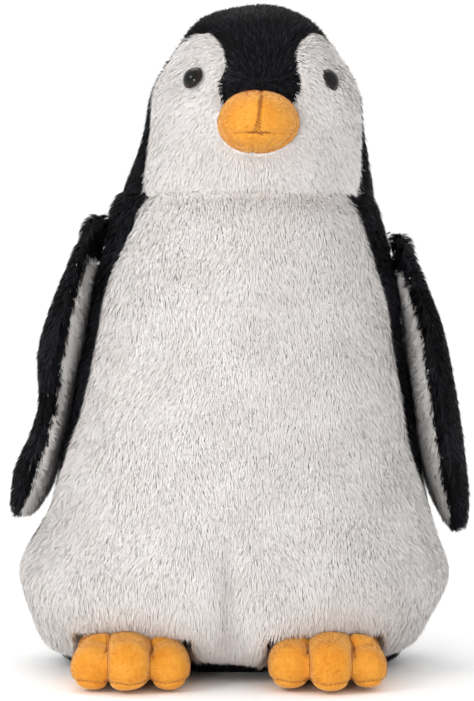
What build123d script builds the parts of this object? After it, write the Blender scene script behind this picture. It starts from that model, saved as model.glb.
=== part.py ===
"""A plush penguin that stands on its flat base and feet, in millimetres.

+Z is up and the penguin faces -Y. The origin is on the floor under the middle of its width.
The soft pieces are plain closed solids. Skins are shells of plush fabric and hold solid stuffing.
"""

import math
import os

from build123d import *

os.makedirs("parts", exist_ok=True)

# Driving dimensions
SKIN = 4.0  # plush fabric with its pressed pile
FILL_GAP = 0.4  # between a skin and the stuffing inside it
# Sideways lean of the stuffed body: x of its centreline at each height
CENTRELINE = [
    (-50, -5), (0, -5), (50, -4), (110, -1.5), (150, 0.5), (200, 3.2), (250, 5.6), (300, 7.2), (340, 8),
    (378, 9.8), (400, 11.5), (425, 14.5), (450, 16.5), (475, 17.5), (500, 18.5), (526, 21), (600, 21),
]
FAR = 400.0  # larger than the penguin, for cutting regions

NECK_Z = 378.0
NECK_GAP = 0.6  # between the turning head and the body
BASE_RIM_Z = 12.0  # height of the seam round the base panel
HEAD_WIDEST_Z = 450.0
CROWN_HEIGHT = 76.0  # from the head's widest level to the top of the skin
CROWN_POWER = 1.3  # how late the crown draws in
CROWN_ROUND = 0.5  # a round top
HEAD_HALF = (82.5, 83.0, 85.0)  # half width, front depth, back depth at the widest level

# Rings of the body and lower head: height, half width, front depth, back depth
BODY_RINGS = [
    (0, 120, 40, 97),
    (6, 134, 64, 107),
    (13, 141, 88, 114),
    (22, 149, 110, 119),
    (38, 157, 128, 124),
    (75, 167, 139, 128),
    (110, 157, 136, 122),
    (150, 144, 128, 114),
    (200, 133, 116, 105),
    (250, 125, 106, 98),
    (300, 118, 97, 92),
    (340, 111, 88, 87),
    (378, 101, 78, 82),
    (400, 92, 79, 82),
    (425, 86, 82, 84),
    (450, 82.5, 83, 85),
]
CROWN_LEVELS = (0.2, 0.4, 0.6, 0.8, 0.92, 0.985)

# Seam between the white front and the black back, seen from the side: y, z
FRONT_SEAM = [(22, -20), (20, 20), (5, 75), (-10, 104), (-26, 140), (-38, 200), (-38, 300), (-44, 345), (-46, 392)]
CHEEK_SEAM = [(-46, 360), (-30, 392), (-16, 430), (-8, 465), (-4, 500), (-4, 560)]
# Edge of the black stripe between the cheeks, seen from the front: x from the centreline, z
STRIPE_EDGE = [(28, 440), (31, 462), (25, 478), (28, 490), (46, 503), (70, 509), (140, 512)]
CAP_BACK_Y = 12.0  # where the cap ends and the back of the head begins
CAP_LOW_Z = 430.0  # the stripe's lowest point, under the beak

# Beak
BEAK_CENTRE = (16.0, -80.0, 428.0)
BEAK_HALF = (33.0, 48.0, 27.0)
BEAK_SKIN = 2.5
MOUTH_Z = 417.5
THREAD_R = 0.8
THREAD_LIFT = 0.3  # between a thread and the fabric under it
BEAK_SEAM_START = 8.0  # degrees up from the beak's tip
BEAK_SEAM_TURN = 60.0
MOUTH_START = -130.0  # degrees round from +X
MOUTH_TURN = 80.0

# Eyes
EYE_PLACES = {"left": (-51.5, 464.0), "right": (55.0, 462.5)}  # x from the centreline, z
EYE_R = 9.0
EYE_DOME = 6.0
EYE_SEAT = 0.3  # clearance under the dome
EYE_ROOM = 0.4  # clearance round the dome, shank and washer
SHANK_R = 2.4
SHANK_LENGTH = 14.0
SHANK_FIT = 0.05  # clearance in the washer's hole
SHANK_OVERLAP = 2.0  # of the shank into the dome
WASHER_R = 8.5
WASHER_THICK = 2.0
WASHER_DEPTH = 7.5

# Flippers: height, clearance to the body, thickness and half length front to back of each ring
FLIPPER_SKIN = 2.5
FLIPPER_TURN = 4.0  # degrees that the front edge stands outward
FLIPPER_Y = 4.0
FLIPPER_LEAST = 0.36  # least half thickness of a turned ring, as a share of its thickness
LINING_SHARE = 0.12  # share of the thickness that the lining wraps round
SEAM_RUN_OUT = 30.0  # how far the edge seam's line runs past the flipper's ends
FLIPPER_RINGS = {
    "left": [
        (357, 3.5, 12, 17), (346, 5, 15.5, 27), (320, 6.5, 19.5, 40), (282, 7, 25, 49), (243, 7, 27.5, 53),
        (205, 7, 20, 52), (167, 7.5, 23.5, 48), (140, 8, 25, 41), (126, 10, 22, 30), (118, 14, 9, 14),
    ],
    "right": [
        (345, 2.5, 10, 16), (334, 3.5, 12, 27), (310, 5.5, 16.5, 38), (282, 7, 22.5, 48), (243, 7, 28.5, 53),
        (205, 7, 30.5, 52), (167, 7, 29, 49), (140, 8, 27, 44), (118, 10, 21.5, 34), (103, 12, 10, 15),
    ],
}
SHOULDER_OUT = 4.5  # from the body's side to the shoulder seam
SHOULDER_UP = 4.0  # from the flipper's top ring to the shoulder seam
SHOULDER_THREAD_HALF = 16.0
SHOULDER_THREAD_R = 0.7

# Feet: sideways place, radius and front reach of each toe
FOOT_SKIN = 2.5
FOOT_HINGE_Y = -70.0
FOOT_HINGE_Z = 20.5
FOOT_HEEL_R = 19.0
TOE_SUNK = 1.0  # how far a toe's round is pressed flat
INSTEP_SIDE = 5.0  # instep inside of the outer toes
INSTEP_LENGTH = 62.0
INSTEP_ROUND = 15.0
INSTEP_LOW = 1.0  # height of the instep less than the heel's
SOLE_Z = 9.0
TOES = {
    "left": [(-108, 17.5, 157), (-80.5, 20.5, 170), (-51.5, 17.5, 158)],
    "right": [(40.5, 18, 158), (69.5, 20.5, 170), (97, 16.5, 156)],
}
FOOT_CLEARANCE = 2.5
FOOT_HEADROOM = 1.5  # more clearance over the heel
TOE_THREAD = 1.2  # thickness and width of the threads tied between the toes
TOE_THREAD_LIFT = 0.1  # between the thread and the fabric
TOE_THREAD_LOW = 1.0  # lowest point of the thread
TOE_THREAD_BACK = -112.0  # where a toe thread goes back into the instep


def lean_x(z):
    """Sideways place of the body's centreline at height z."""
    for (low_z, low_x), (high_z, high_x) in zip(CENTRELINE, CENTRELINE[1:]):
        if low_z <= z <= high_z:
            return low_x + (high_x - low_x) * (z - low_z) / (high_z - low_z)


def crown_share(level):
    """Width of the crown, from 1 at the head's widest level to 0 at the top."""
    return (1 - level**CROWN_POWER) ** CROWN_ROUND


def body_side(z, side):
    """x of the body's side at height z, where side is -1 for left and 1 for right."""
    for low, high in zip(BODY_RINGS, BODY_RINGS[1:]):
        if low[0] <= z <= high[0]:
            share = (z - low[0]) / (high[0] - low[0])
            return lean_x(z) + side * (low[1] + share * (high[1] - low[1]))


def ellipse_ring(x, y, z, half_x, half_y, turn=0.0):
    """A level ellipse, turned about the vertical by turn degrees."""
    ring_plane = Plane(origin=(x, y, z)).rotated((0, 0, turn))
    return ring_plane * Ellipse(half_x, half_y)


def body_loft(inset=0.0):
    """Body and head in one smooth closed form, inset all round."""
    rings = []
    for z, half, front, back in BODY_RINGS:
        half_y = (front + back) / 2 - inset
        rings.append(ellipse_ring(lean_x(z), (back - front) / 2, z, half - inset, half_y))
    half, front, back = HEAD_HALF
    for level in CROWN_LEVELS:
        z = HEAD_WIDEST_Z + level * (CROWN_HEIGHT - inset)
        share = crown_share(level)
        half_y = ((front + back) / 2 - inset) * share
        offset_y = (back - front) / 2 * share
        rings.append(ellipse_ring(lean_x(z), offset_y, z, (half - inset) * share, half_y))
    return loft(rings)


def slab(low_z, high_z):
    """Everything between two heights."""
    return Pos(0, 0, (low_z + high_z) / 2) * Box(2 * FAR, 2 * FAR, high_z - low_z)


def region_from_side(seam):
    """Everything in front of a seam that is drawn in the side view as (y, z) points."""
    curve = Spline(*seam)
    outline = curve + Polyline(seam[-1], (-FAR, seam[-1][1]), (-FAR, seam[0][1]), seam[0])
    return extrude(Plane.YZ * make_face(outline), amount=FAR, both=True)


def side_of_centreline(side):
    """Everything on one side of the leaning centre plane."""
    middle = [(x, z) for z, x in CENTRELINE]
    low_z, high_z = CENTRELINE[0][0], CENTRELINE[-1][0]
    outline = Polyline(*middle, (side * FAR, high_z), (side * FAR, low_z), middle[0])
    return extrude(Plane.XZ * make_face(outline), amount=FAR, both=True)


def ellipsoid(centre, half_sizes):
    """A solid ellipsoid, with its ball's poles turned to the sides."""
    return Pos(*centre) * scale(Rot(0, 90, 0) * Sphere(1.0), by=half_sizes)


def shrink(sizes, amount):
    """Each size less the same amount."""
    return tuple(size - amount for size in sizes)


def capsule(radius, length):
    """A round bar along X with domed ends, length overall."""
    reach = length / 2
    outline = Line((-reach, 0), (reach, 0)) + ThreePointArc(
        (reach, 0), (reach - radius * (1 - math.sqrt(0.5)), radius * math.sqrt(0.5)), (reach - radius, radius)
    )
    outline = outline + Line((reach - radius, radius), (radius - reach, radius)) + ThreePointArc(
        (radius - reach, radius), (radius * (1 - math.sqrt(0.5)) - reach, radius * math.sqrt(0.5)), (-reach, 0)
    )
    return revolve(make_face(outline), Axis.X)


def foot_solid(side, inset=0.0):
    """One foot: three toes, an instep over them and a round heel on the hinge line."""
    toes = TOES[side]
    foot = None
    for x, radius, reach in toes:
        length = reach + FOOT_HINGE_Y
        toe = Rot(0, 0, 90) * capsule(radius - inset, length - 2 * inset)
        toe = Pos(x, FOOT_HINGE_Y - length / 2, radius - TOE_SUNK) * toe
        foot = toe if foot is None else foot + toe
    low_x = toes[0][0] - toes[0][1]
    high_x = toes[-1][0] + toes[-1][1]
    middle_x = (low_x + high_x) / 2
    instep_size = (high_x - low_x - 2 * INSTEP_SIDE, INSTEP_LENGTH, 2 * FOOT_HEEL_R - INSTEP_LOW)
    instep = Box(*shrink(instep_size, 2 * inset))
    instep = fillet(instep.edges(), INSTEP_ROUND - inset)
    foot = foot + Pos(middle_x, FOOT_HINGE_Y - INSTEP_LENGTH / 2, FOOT_HINGE_Z) * instep
    heel = capsule(FOOT_HEEL_R - inset, high_x - low_x - 2 * inset)
    foot = foot + Pos(middle_x, FOOT_HINGE_Y, FOOT_HINGE_Z) * heel
    return foot & slab(inset, FAR)


def toe_threads(side):
    """The two threads that are tied round the foot between its toes."""
    toes = TOES[side]
    wrap = foot_solid(side, -TOE_THREAD) - foot_solid(side, -TOE_THREAD_LIFT)
    reach = Pos(0, TOE_THREAD_BACK - FAR / 2, FAR / 2 + TOE_THREAD_LOW) * Box(4 * FAR, FAR, FAR)
    threads = []
    for near, far in zip(toes, toes[1:]):
        groove_x = (near[0] + near[1] + far[0] - far[1]) / 2
        threads.append(wrap & reach & (Pos(groove_x, 0, 0) * Box(TOE_THREAD, 4 * FAR, 4 * FAR)))
    return Compound(threads)


def foot_pocket(side, grow=0.0):
    """The hollow under the belly that a foot sits in and droops from."""
    toes = TOES[side]
    room = FOOT_CLEARANCE + grow
    low_x = toes[0][0] - toes[0][1] - room
    high_x = toes[-1][0] + toes[-1][1] + room
    length = high_x - low_x
    middle_x = (low_x + high_x) / 2
    top = FOOT_HINGE_Z + FOOT_HEEL_R + room + FOOT_HEADROOM
    radius = top - FOOT_HINGE_Z
    heel = Pos(middle_x, FOOT_HINGE_Y, FOOT_HINGE_Z) * Rot(0, 90, 0) * Cylinder(radius, length)
    front = Pos(middle_x, FOOT_HINGE_Y - FAR / 2, top / 2 - FAR / 4) * Box(length, FAR, top + FAR / 2)
    under = Pos(middle_x, FOOT_HINGE_Y, FOOT_HINGE_Z - FAR / 4) * Box(length, 2 * radius, FAR / 2)
    return heel + front + under


def surface_point(x_out, z):
    """Point of the head's front at x_out from its centreline."""
    half, front, back = HEAD_HALF
    share = crown_share((z - HEAD_WIDEST_Z) / CROWN_HEIGHT)
    y_out = (front + back) / 2 * math.sqrt(share**2 - (x_out / half) ** 2)
    return Vector(lean_x(z) + x_out, (back - front) / 2 * share - y_out, z)


def surface_normal(x_out, z):
    """Outward direction of the head's front at x_out from its centreline."""
    step = 1.0
    across = surface_point(x_out + step, z) - surface_point(x_out - step, z)
    upward = surface_point(x_out, z + step) - surface_point(x_out, z - step)
    return across.cross(upward).normalized()


def eye_parts(side):
    """One safety eye and its washer, and the room that they need in skin and stuffing."""
    place = EYE_PLACES[side]
    seat = Plane(origin=surface_point(*place), z_dir=surface_normal(*place))
    ball_r = (EYE_R**2 + EYE_DOME**2) / (2 * EYE_DOME)
    dome = Pos(0, 0, EYE_DOME - ball_r) * Sphere(ball_r)
    dome = dome & (Pos(0, 0, FAR / 2) * Box(FAR, FAR, FAR))
    shank = Pos(0, 0, (SHANK_OVERLAP - SHANK_LENGTH) / 2) * Cylinder(SHANK_R, SHANK_LENGTH + SHANK_OVERLAP)
    washer = Cylinder(WASHER_R, WASHER_THICK) - Cylinder(SHANK_R + SHANK_FIT, WASHER_THICK)
    washer = Pos(0, 0, -WASHER_DEPTH) * washer
    hole = Pos(0, 0, -SHANK_LENGTH / 2) * Cylinder(SHANK_R + EYE_ROOM, SHANK_LENGTH + 2 * SHANK_OVERLAP)
    hole = hole + Pos(0, 0, EYE_DOME / 2 - EYE_SEAT) * Cylinder(EYE_R + EYE_ROOM, EYE_DOME + EYE_SEAT)
    washer_room = Pos(0, 0, -WASHER_DEPTH) * Cylinder(WASHER_R + EYE_ROOM, WASHER_THICK + 2 * EYE_ROOM)
    return seat * (dome + shank), seat * washer, seat * hole, seat * (hole + washer_room)


def flipper_loft(side, inset=0.0):
    """The closed form of one flipper, hanging down the body's side."""
    sign = -1 if side == "left" else 1
    turn = math.radians(FLIPPER_TURN)
    top_z, low_z = FLIPPER_RINGS[side][0][0], FLIPPER_RINGS[side][-1][0]
    rings = []
    for z, gap, thick, half_y in FLIPPER_RINGS[side]:
        x = body_side(z, sign) + sign * (gap + thick / 2)
        least = FLIPPER_LEAST * thick
        half_x = math.sqrt(max((thick / 2) ** 2 - (half_y * math.sin(turn)) ** 2, least**2))
        level = min(max(z, low_z + inset), top_z - inset)
        rings.append(ellipse_ring(x, FLIPPER_Y, level, half_x - inset, half_y - inset, sign * FLIPPER_TURN))
    return loft(rings)


def flipper_outer_region(side):
    """Everything outside of a flipper's edge seam."""
    sign = -1 if side == "left" else 1
    seam = []
    for z, gap, thick, _ in FLIPPER_RINGS[side]:
        seam.append((body_side(z, sign) + sign * (gap + LINING_SHARE * thick), z))
    seam.insert(0, (seam[0][0], seam[0][1] + SEAM_RUN_OUT))
    seam.append((seam[-1][0], seam[-1][1] - SEAM_RUN_OUT))
    outline = Spline(*seam) + Polyline(seam[-1], (sign * FAR, seam[-1][1]), (sign * FAR, seam[0][1]), seam[0])
    turned = Pos(0, FLIPPER_Y, 0) * Rot(0, 0, sign * FLIPPER_TURN) * Pos(0, -FLIPPER_Y, 0)
    return turned * extrude(Plane.XZ * make_face(outline), amount=FAR, both=True)


def shoulder_point(side):
    """Middle of the seam that a flipper hangs from."""
    sign = -1 if side == "left" else 1
    z = FLIPPER_RINGS[side][0][0] + SHOULDER_UP
    return (body_side(z, sign) + sign * SHOULDER_OUT, FLIPPER_Y, z)


def arc_tube(centre, half_out, half_up, plane, start, turn, radius):
    """A thread laid along an arc of an ellipse, turn degrees on from start."""
    arc = plane * EllipticalCenterArc((0, 0), half_out, half_up, start_angle=start, arc_size=turn)
    section = Plane(origin=arc @ 0, z_dir=arc % 0) * Circle(radius)
    return Pos(*centre) * sweep(section, path=arc)


parts = {}

# Body and head skins
outer = body_loft()
inner = body_loft(SKIN)
fill = body_loft(SKIN + FILL_GAP)
pockets = foot_pocket("left") + foot_pocket("right")
pocket_skins = foot_pocket("left", SKIN) + foot_pocket("right", SKIN)
pocket_fills = foot_pocket("left", SKIN + FILL_GAP) + foot_pocket("right", SKIN + FILL_GAP)
body_outer = (outer & slab(0, NECK_Z)) - pockets
body_inner = (inner & slab(SKIN, FAR * 2)) - pocket_skins
body_skin = body_outer - body_inner
front = region_from_side(FRONT_SEAM)
above_base = slab(BASE_RIM_Z, FAR * 2)
upper_skin = body_skin & above_base
back_skin = upper_skin - front
parts["base_panel"] = body_skin - above_base
parts["belly_panel"] = upper_skin & front
parts["back_panel_left"] = back_skin & side_of_centreline(-1)
parts["back_panel_right"] = back_skin & side_of_centreline(1)
parts["body_stuffing"] = (fill & slab(SKIN + FILL_GAP, NECK_Z)) - pocket_fills

above_neck = slab(NECK_Z + NECK_GAP, FAR * 2)
head_outer = outer & above_neck
head_skin = head_outer - inner
head_fill = fill & above_neck

# Cheeks, cap and back of the head
face = region_from_side(CHEEK_SEAM)
stripe_points = []
for sign in (-1, 1):
    edge = [(lean_x(z) + sign * x, z) for x, z in STRIPE_EDGE]
    stripe_points.append(edge)
left_edge, right_edge = stripe_points
stripe_outline = (
    Spline(*left_edge)
    + Polyline(left_edge[-1], (-FAR, FAR * 2), (FAR, FAR * 2), right_edge[-1])
    + Spline(*reversed(right_edge))
    + Line(right_edge[0], left_edge[0])
)
cap_region = extrude(Plane.XZ * make_face(stripe_outline), amount=FAR, both=True)
cheek_skin = (head_skin & face) - cap_region
for side, sign in (("left", -1), ("right", 1)):
    parts["cheek_" + side] = cheek_skin & side_of_centreline(sign)
black_head = head_skin - cheek_skin
crown_front = Pos(0, CAP_BACK_Y - FAR / 2, 0) * Box(2 * FAR, FAR, 4 * FAR) & slab(CAP_LOW_Z, 4 * FAR)
parts["head_cap"] = black_head & crown_front
parts["head_back"] = black_head - crown_front

# Eyes
for side in ("left", "right"):
    eye, washer, hole, room = eye_parts(side)
    parts["eye_" + side] = eye
    parts["eye_washer_" + side] = washer
    parts["cheek_" + side] = parts["cheek_" + side] - hole
    head_fill = head_fill - room
parts["head_stuffing"] = head_fill

# Beak
beak_outer = ellipsoid(BEAK_CENTRE, BEAK_HALF) - head_outer
beak_inner = ellipsoid(BEAK_CENTRE, shrink(BEAK_HALF, BEAK_SKIN))
beak_shell = beak_outer - beak_inner
upper_beak = beak_shell & slab(MOUTH_Z, FAR * 2)
parts["beak_upper_left"] = upper_beak & (Pos(BEAK_CENTRE[0] - FAR, 0, 0) * Box(2 * FAR, 2 * FAR, 4 * FAR))
parts["beak_upper_right"] = upper_beak & (Pos(BEAK_CENTRE[0] + FAR, 0, 0) * Box(2 * FAR, 2 * FAR, 4 * FAR))
parts["beak_lower"] = beak_shell - slab(MOUTH_Z, FAR * 2)
parts["beak_stuffing"] = ellipsoid(BEAK_CENTRE, shrink(BEAK_HALF, BEAK_SKIN + FILL_GAP)) - head_outer

# Threads on the beak: down the middle of its top, and along the mouth
seam_out = THREAD_R + THREAD_LIFT
parts["beak_seam_thread"] = arc_tube(
    BEAK_CENTRE, BEAK_HALF[1] + seam_out, BEAK_HALF[2] + seam_out,
    Plane(origin=(0, 0, 0), x_dir=(0, -1, 0), z_dir=(-1, 0, 0)), BEAK_SEAM_START, BEAK_SEAM_TURN, THREAD_R,
)
mouth_share = math.sqrt(1 - ((MOUTH_Z - BEAK_CENTRE[2]) / BEAK_HALF[2]) ** 2)
parts["mouth_thread"] = arc_tube(
    (BEAK_CENTRE[0], BEAK_CENTRE[1], MOUTH_Z),
    BEAK_HALF[0] * mouth_share + seam_out, BEAK_HALF[1] * mouth_share + seam_out,
    Plane.XY, MOUTH_START, MOUTH_TURN, THREAD_R,
)

# Flippers
for side in ("left", "right"):
    whole = flipper_loft(side)
    shell = whole - flipper_loft(side, FLIPPER_SKIN)
    outside = flipper_outer_region(side)
    parts["flipper_outer_" + side] = shell & outside
    parts["flipper_lining_" + side] = shell - outside
    parts["flipper_filling_" + side] = flipper_loft(side, FLIPPER_SKIN + FILL_GAP)
    thread = Rot(90, 0, 0) * Cylinder(SHOULDER_THREAD_R, 2 * SHOULDER_THREAD_HALF)
    parts["shoulder_thread_" + side] = Pos(*shoulder_point(side)) * thread

# Feet
for side in ("left", "right"):
    shell = foot_solid(side) - foot_solid(side, FOOT_SKIN)
    parts["foot_upper_" + side] = shell & slab(SOLE_Z, FAR)
    parts["foot_sole_" + side] = shell - slab(SOLE_Z, FAR)
    parts["foot_stuffing_" + side] = foot_solid(side, FOOT_SKIN + FILL_GAP)
    parts["toe_thread_" + side] = toe_threads(side)

for name, part in parts.items():
    print(name, len(part.solids()), round(part.volume))
    export_step(part, "parts/" + name + ".step")
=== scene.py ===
"""A plush penguin: skins, pile, beak, eyes, flippers and feet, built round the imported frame, in metres."""

import math

import bmesh
import bpy
import numpy as np
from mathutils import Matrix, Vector
from mathutils.bvhtree import BVHTree


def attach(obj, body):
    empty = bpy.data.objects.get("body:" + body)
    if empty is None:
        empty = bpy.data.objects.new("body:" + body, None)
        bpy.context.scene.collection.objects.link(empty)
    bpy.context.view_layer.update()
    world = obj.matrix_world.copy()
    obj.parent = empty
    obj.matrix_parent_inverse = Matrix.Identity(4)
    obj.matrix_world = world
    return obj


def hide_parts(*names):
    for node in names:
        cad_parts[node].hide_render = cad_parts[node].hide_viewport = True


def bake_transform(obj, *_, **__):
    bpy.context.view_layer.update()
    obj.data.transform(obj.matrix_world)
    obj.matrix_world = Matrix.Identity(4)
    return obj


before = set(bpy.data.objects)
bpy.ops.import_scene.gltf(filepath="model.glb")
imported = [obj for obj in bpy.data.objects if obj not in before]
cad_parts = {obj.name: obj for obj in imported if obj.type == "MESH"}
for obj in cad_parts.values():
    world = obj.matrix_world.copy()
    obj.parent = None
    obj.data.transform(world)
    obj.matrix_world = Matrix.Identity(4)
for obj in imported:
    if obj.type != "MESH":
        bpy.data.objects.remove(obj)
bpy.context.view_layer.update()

# ---------------------------------------------------------------- driving sizes

# Sideways lean of the stuffed body: height, x of its centreline
CENTRELINE = np.array([
    (-0.050, -0.005), (0.000, -0.005), (0.050, -0.004), (0.110, -0.0015), (0.150, 0.0005), (0.200, 0.0032),
    (0.250, 0.0056), (0.300, 0.0072), (0.340, 0.008), (0.378, 0.0098), (0.400, 0.0115), (0.425, 0.0145),
    (0.450, 0.0165), (0.475, 0.0175), (0.500, 0.0185), (0.526, 0.021), (0.600, 0.021),
])
NECK_Z = 0.378
BASE_RIM_Z = 0.012
HEAD_WIDEST_Z = 0.450
CROWN_HEIGHT = 0.076
CROWN_POWER = 1.3
CROWN_ROUND = 0.5
SKIN_INSET = 0.0035  # the backing cloth lies this far inside the pile's pressed surface

# Rings of the body and lower head: height, half width, front depth, back depth
BODY_RINGS = np.array([
    (0.000, 0.120, 0.040, 0.097),
    (0.006, 0.134, 0.064, 0.107),
    (0.013, 0.141, 0.088, 0.114),
    (0.022, 0.149, 0.110, 0.119),
    (0.038, 0.157, 0.128, 0.124),
    (0.075, 0.167, 0.139, 0.128),
    (0.110, 0.157, 0.136, 0.122),
    (0.150, 0.144, 0.128, 0.114),
    (0.200, 0.133, 0.116, 0.105),
    (0.250, 0.125, 0.106, 0.098),
    (0.300, 0.118, 0.097, 0.092),
    (0.340, 0.111, 0.088, 0.087),
    (0.378, 0.101, 0.078, 0.082),
    (0.400, 0.092, 0.079, 0.082),
    (0.425, 0.086, 0.082, 0.084),
    (0.450, 0.0825, 0.083, 0.085),
])

# Seams seen from the side, as (z, y)
FRONT_SEAM = np.array([
    (-0.020, 0.022), (0.020, 0.020), (0.075, 0.005), (0.104, -0.010), (0.140, -0.026),
    (0.200, -0.038), (0.300, -0.038), (0.345, -0.044), (0.392, -0.046),
])
CHEEK_SEAM = np.array([
    (0.360, -0.046), (0.392, -0.030), (0.430, -0.016), (0.465, -0.008), (0.488, -0.004),
    (0.4935, -0.006), (0.4985, -0.022), (0.5025, -0.032), (0.560, -0.032),
])
# Edge of the black stripe between the cheeks, seen from the front: z, x from the centreline
STRIPE_EDGE = np.array([
    (0.440, 0.028), (0.462, 0.031), (0.478, 0.026), (0.490, 0.029), (0.4965, 0.033), (0.501, 0.039),
    (0.5025, 0.047), (0.504, 0.140),
])

# Depth and width of the pull of each sewn seam
SIDE_SEAM_PULL = (0.0040, 0.007)
BASE_SEAM_PULL = (0.0020, 0.004)
DART_PULL = (0.0090, 0.010)
CHEEK_SEAM_PULL = (0.0030, 0.006)
CHIN_PULL = (0.0026, 0.007)
NECK_PULL = (0.0012, 0.0036, 0.009)  # depth at the back, what the front adds to it, width

DART_X, DART_Z, DART_LEAN = -0.003, 0.050, -0.05  # the belly's short dart: a point on it, and x per z
DART_LOW, DART_HIGH = (0.012, 0.035), (0.130, 0.080)  # heights where it fades in and out
CHIN_X = 0.0135  # the seam down the chin
CHIN_LOW, CHIN_HIGH = (0.380, 0.398), (0.425, 0.412)
CHEEK_TOP_Z = 0.5028  # the white of the cheeks ends in a rounded lobe at this height
CROWN_RISE, CROWN_RISE_Z = 0.0025, (0.495, 0.512)

# Soft rises of the stuffing: middle, reach along each axis, height
BODY_BULGES = (
    ((-0.078, -0.118, 0.066), (0.055, 0.05, 0.045), 0.006),
    ((0.080, -0.118, 0.066), (0.055, 0.05, 0.045), 0.006),
    ((-0.098, 0.0, 0.362), (0.03, 0.05, 0.018), 0.0035),
    ((-0.165, -0.02, 0.092), (0.05, 0.08, 0.025), 0.0035),
    ((0.130, 0.01, 0.275), (0.04, 0.08, 0.075), 0.0050),
)
HEAD_BULGES = (
    ((-0.028, 0.0, 0.508), (0.03, 0.06, 0.02), 0.0045),
    ((0.100, 0.0, 0.410), (0.03, 0.06, 0.035), 0.0030),
)
# Unevenness of the stuffing: height, size, seed
BODY_LUMPS = ((0.0022, 0.11, 3), (0.0012, 0.045, 4))
HEAD_LUMPS = ((0.0015, 0.08, 5), (0.0008, 0.035, 6))


# ---------------------------------------------------------------- small helpers

def smooth_table(values, table):
    """Columns of a table at each value of its first column, on a smooth curve through its rows."""
    keys, columns = table[:, 0], table[:, 1:]
    steps = np.diff(columns, axis=0) / np.diff(keys)[:, None]
    slopes = np.vstack([steps[:1], (steps[1:] + steps[:-1]) / 2, steps[-1:]])
    values = np.clip(np.asarray(values, float), keys[0], keys[-1])
    at = np.clip(np.searchsorted(keys, values, side="right") - 1, 0, len(keys) - 2)
    width = keys[at + 1] - keys[at]
    t = ((values - keys[at]) / width)[..., None]
    width = width[..., None]
    return (
        (2 * t**3 - 3 * t**2 + 1) * columns[at]
        + (t**3 - 2 * t**2 + t) * width * slopes[at]
        + (3 * t**2 - 2 * t**3) * columns[at + 1]
        + (t**3 - t**2) * width * slopes[at + 1]
    )


def smoothstep(low, high, values):
    """A soft ramp from 0 at low to 1 at high, whichever of the two is larger."""
    t = np.clip((values - low) / (high - low), 0, 1)
    return t * t * (3 - 2 * t)


def lean_x(z):
    """x of the body's centreline at height z."""
    return np.interp(z, CENTRELINE[:, 0], CENTRELINE[:, 1])


def unit(vectors):
    """Vectors made one metre long."""
    return vectors / np.maximum(np.linalg.norm(vectors, axis=-1, keepdims=True), 1e-12)


# ---------------------------------------------------------------- shape of the stuffed body and head

def crown_share(level):
    """Width of the crown, from 1 at the head's widest level to 0 at the top."""
    return (1 - np.clip(level, 0, 1) ** CROWN_POWER) ** CROWN_ROUND


def ring_at(z):
    """Half width, half depth and depth offset of the stuffed form at each height."""
    half, front, back = np.moveaxis(smooth_table(z, BODY_RINGS), -1, 0)
    share = crown_share((np.asarray(z) - HEAD_WIDEST_Z) / CROWN_HEIGHT)
    return half * share, (front + back) / 2 * share, (back - front) / 2 * share


def form_point(turn, z):
    """A point of the outer form: turn is 0 at the front and grows towards +X."""
    half, depth, offset = ring_at(z)
    return np.stack([lean_x(z) + half * np.sin(turn), offset - depth * np.cos(turn), z], -1)


def form_normal(turn, z):
    """Outward direction of the outer form."""
    half, depth, _ = ring_at(z)
    step = 0.0005
    around = np.stack([half * np.cos(turn), depth * np.sin(turn), 0 * z], -1)
    upward = form_point(turn, z + step) - form_point(turn, z - step)
    normals = unit(np.cross(around, upward))
    normals[np.linalg.norm(normals, axis=-1) < 0.5] = (0, 0, 1)
    return normals


def seam_turn(z, seam):
    """Turn at which a seam drawn in the side view crosses the form."""
    half, depth, offset = ring_at(z)
    y = smooth_table(z, seam)[..., 0]
    return np.arccos(np.clip((offset - y) / np.maximum(depth, 1e-6), -0.98, 0.98))


def stripe_turn(z):
    """Turn of the stripe's edge, which closes up under the beak and reaches the cheek seam on top."""
    half, _, _ = ring_at(z)
    x = smooth_table(z, STRIPE_EDGE)[..., 0]
    edge = np.arcsin(np.clip(x / np.maximum(half, 1e-6), 0, 1))
    edge = edge * smoothstep(0.428, 0.440, z)
    return np.minimum(np.where(x >= half, np.pi, edge), seam_turn(z, CHEEK_SEAM))


def from_front(turns):
    """Turns as angles of 0 to pi away from the front, on either side."""
    return np.abs((turns + math.pi) % (2 * math.pi) - math.pi)


def spread(low, high, count):
    """count steps from low to high for every row, without the last."""
    t = np.arange(count) / count
    return low[:, None] + (high - low)[:, None] * t[None, :]


def grid_normals(grid):
    """Outward normals of a grid that is closed along its columns and open along its rows."""
    around = np.roll(grid, -1, 1) - np.roll(grid, 1, 1)
    upward = np.gradient(grid, axis=0)
    normals = unit(np.cross(around, upward))
    outward = grid - np.stack([lean_x(grid[..., 2]), 0 * grid[..., 2], grid[..., 2]], -1)
    pinched = np.linalg.norm(around, axis=-1) < 1e-6
    on_axis = np.linalg.norm(outward, axis=-1) < 1e-3
    normals[pinched] = unit(outward)[pinched]
    normals[pinched & on_axis] = (0, 0, 1)
    return normals


def wave_noise(points, size, seed, waves=14):
    """Smooth noise of about -1 to 1 whose bumps are about size across."""
    rng = np.random.default_rng(seed)
    heading = unit(rng.normal(size=(waves, 3))) * (math.pi / size) * rng.uniform(0.7, 1.4, (waves, 1))
    phase = rng.uniform(0, 2 * math.pi, waves)
    return np.sin(points @ heading.T + phase).sum(-1) / math.sqrt(waves)


def groove(distance, depth, width):
    """How far a sewn seam pulls the cloth in at a distance from it."""
    return depth * np.exp(-((distance / width) ** 2))


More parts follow.
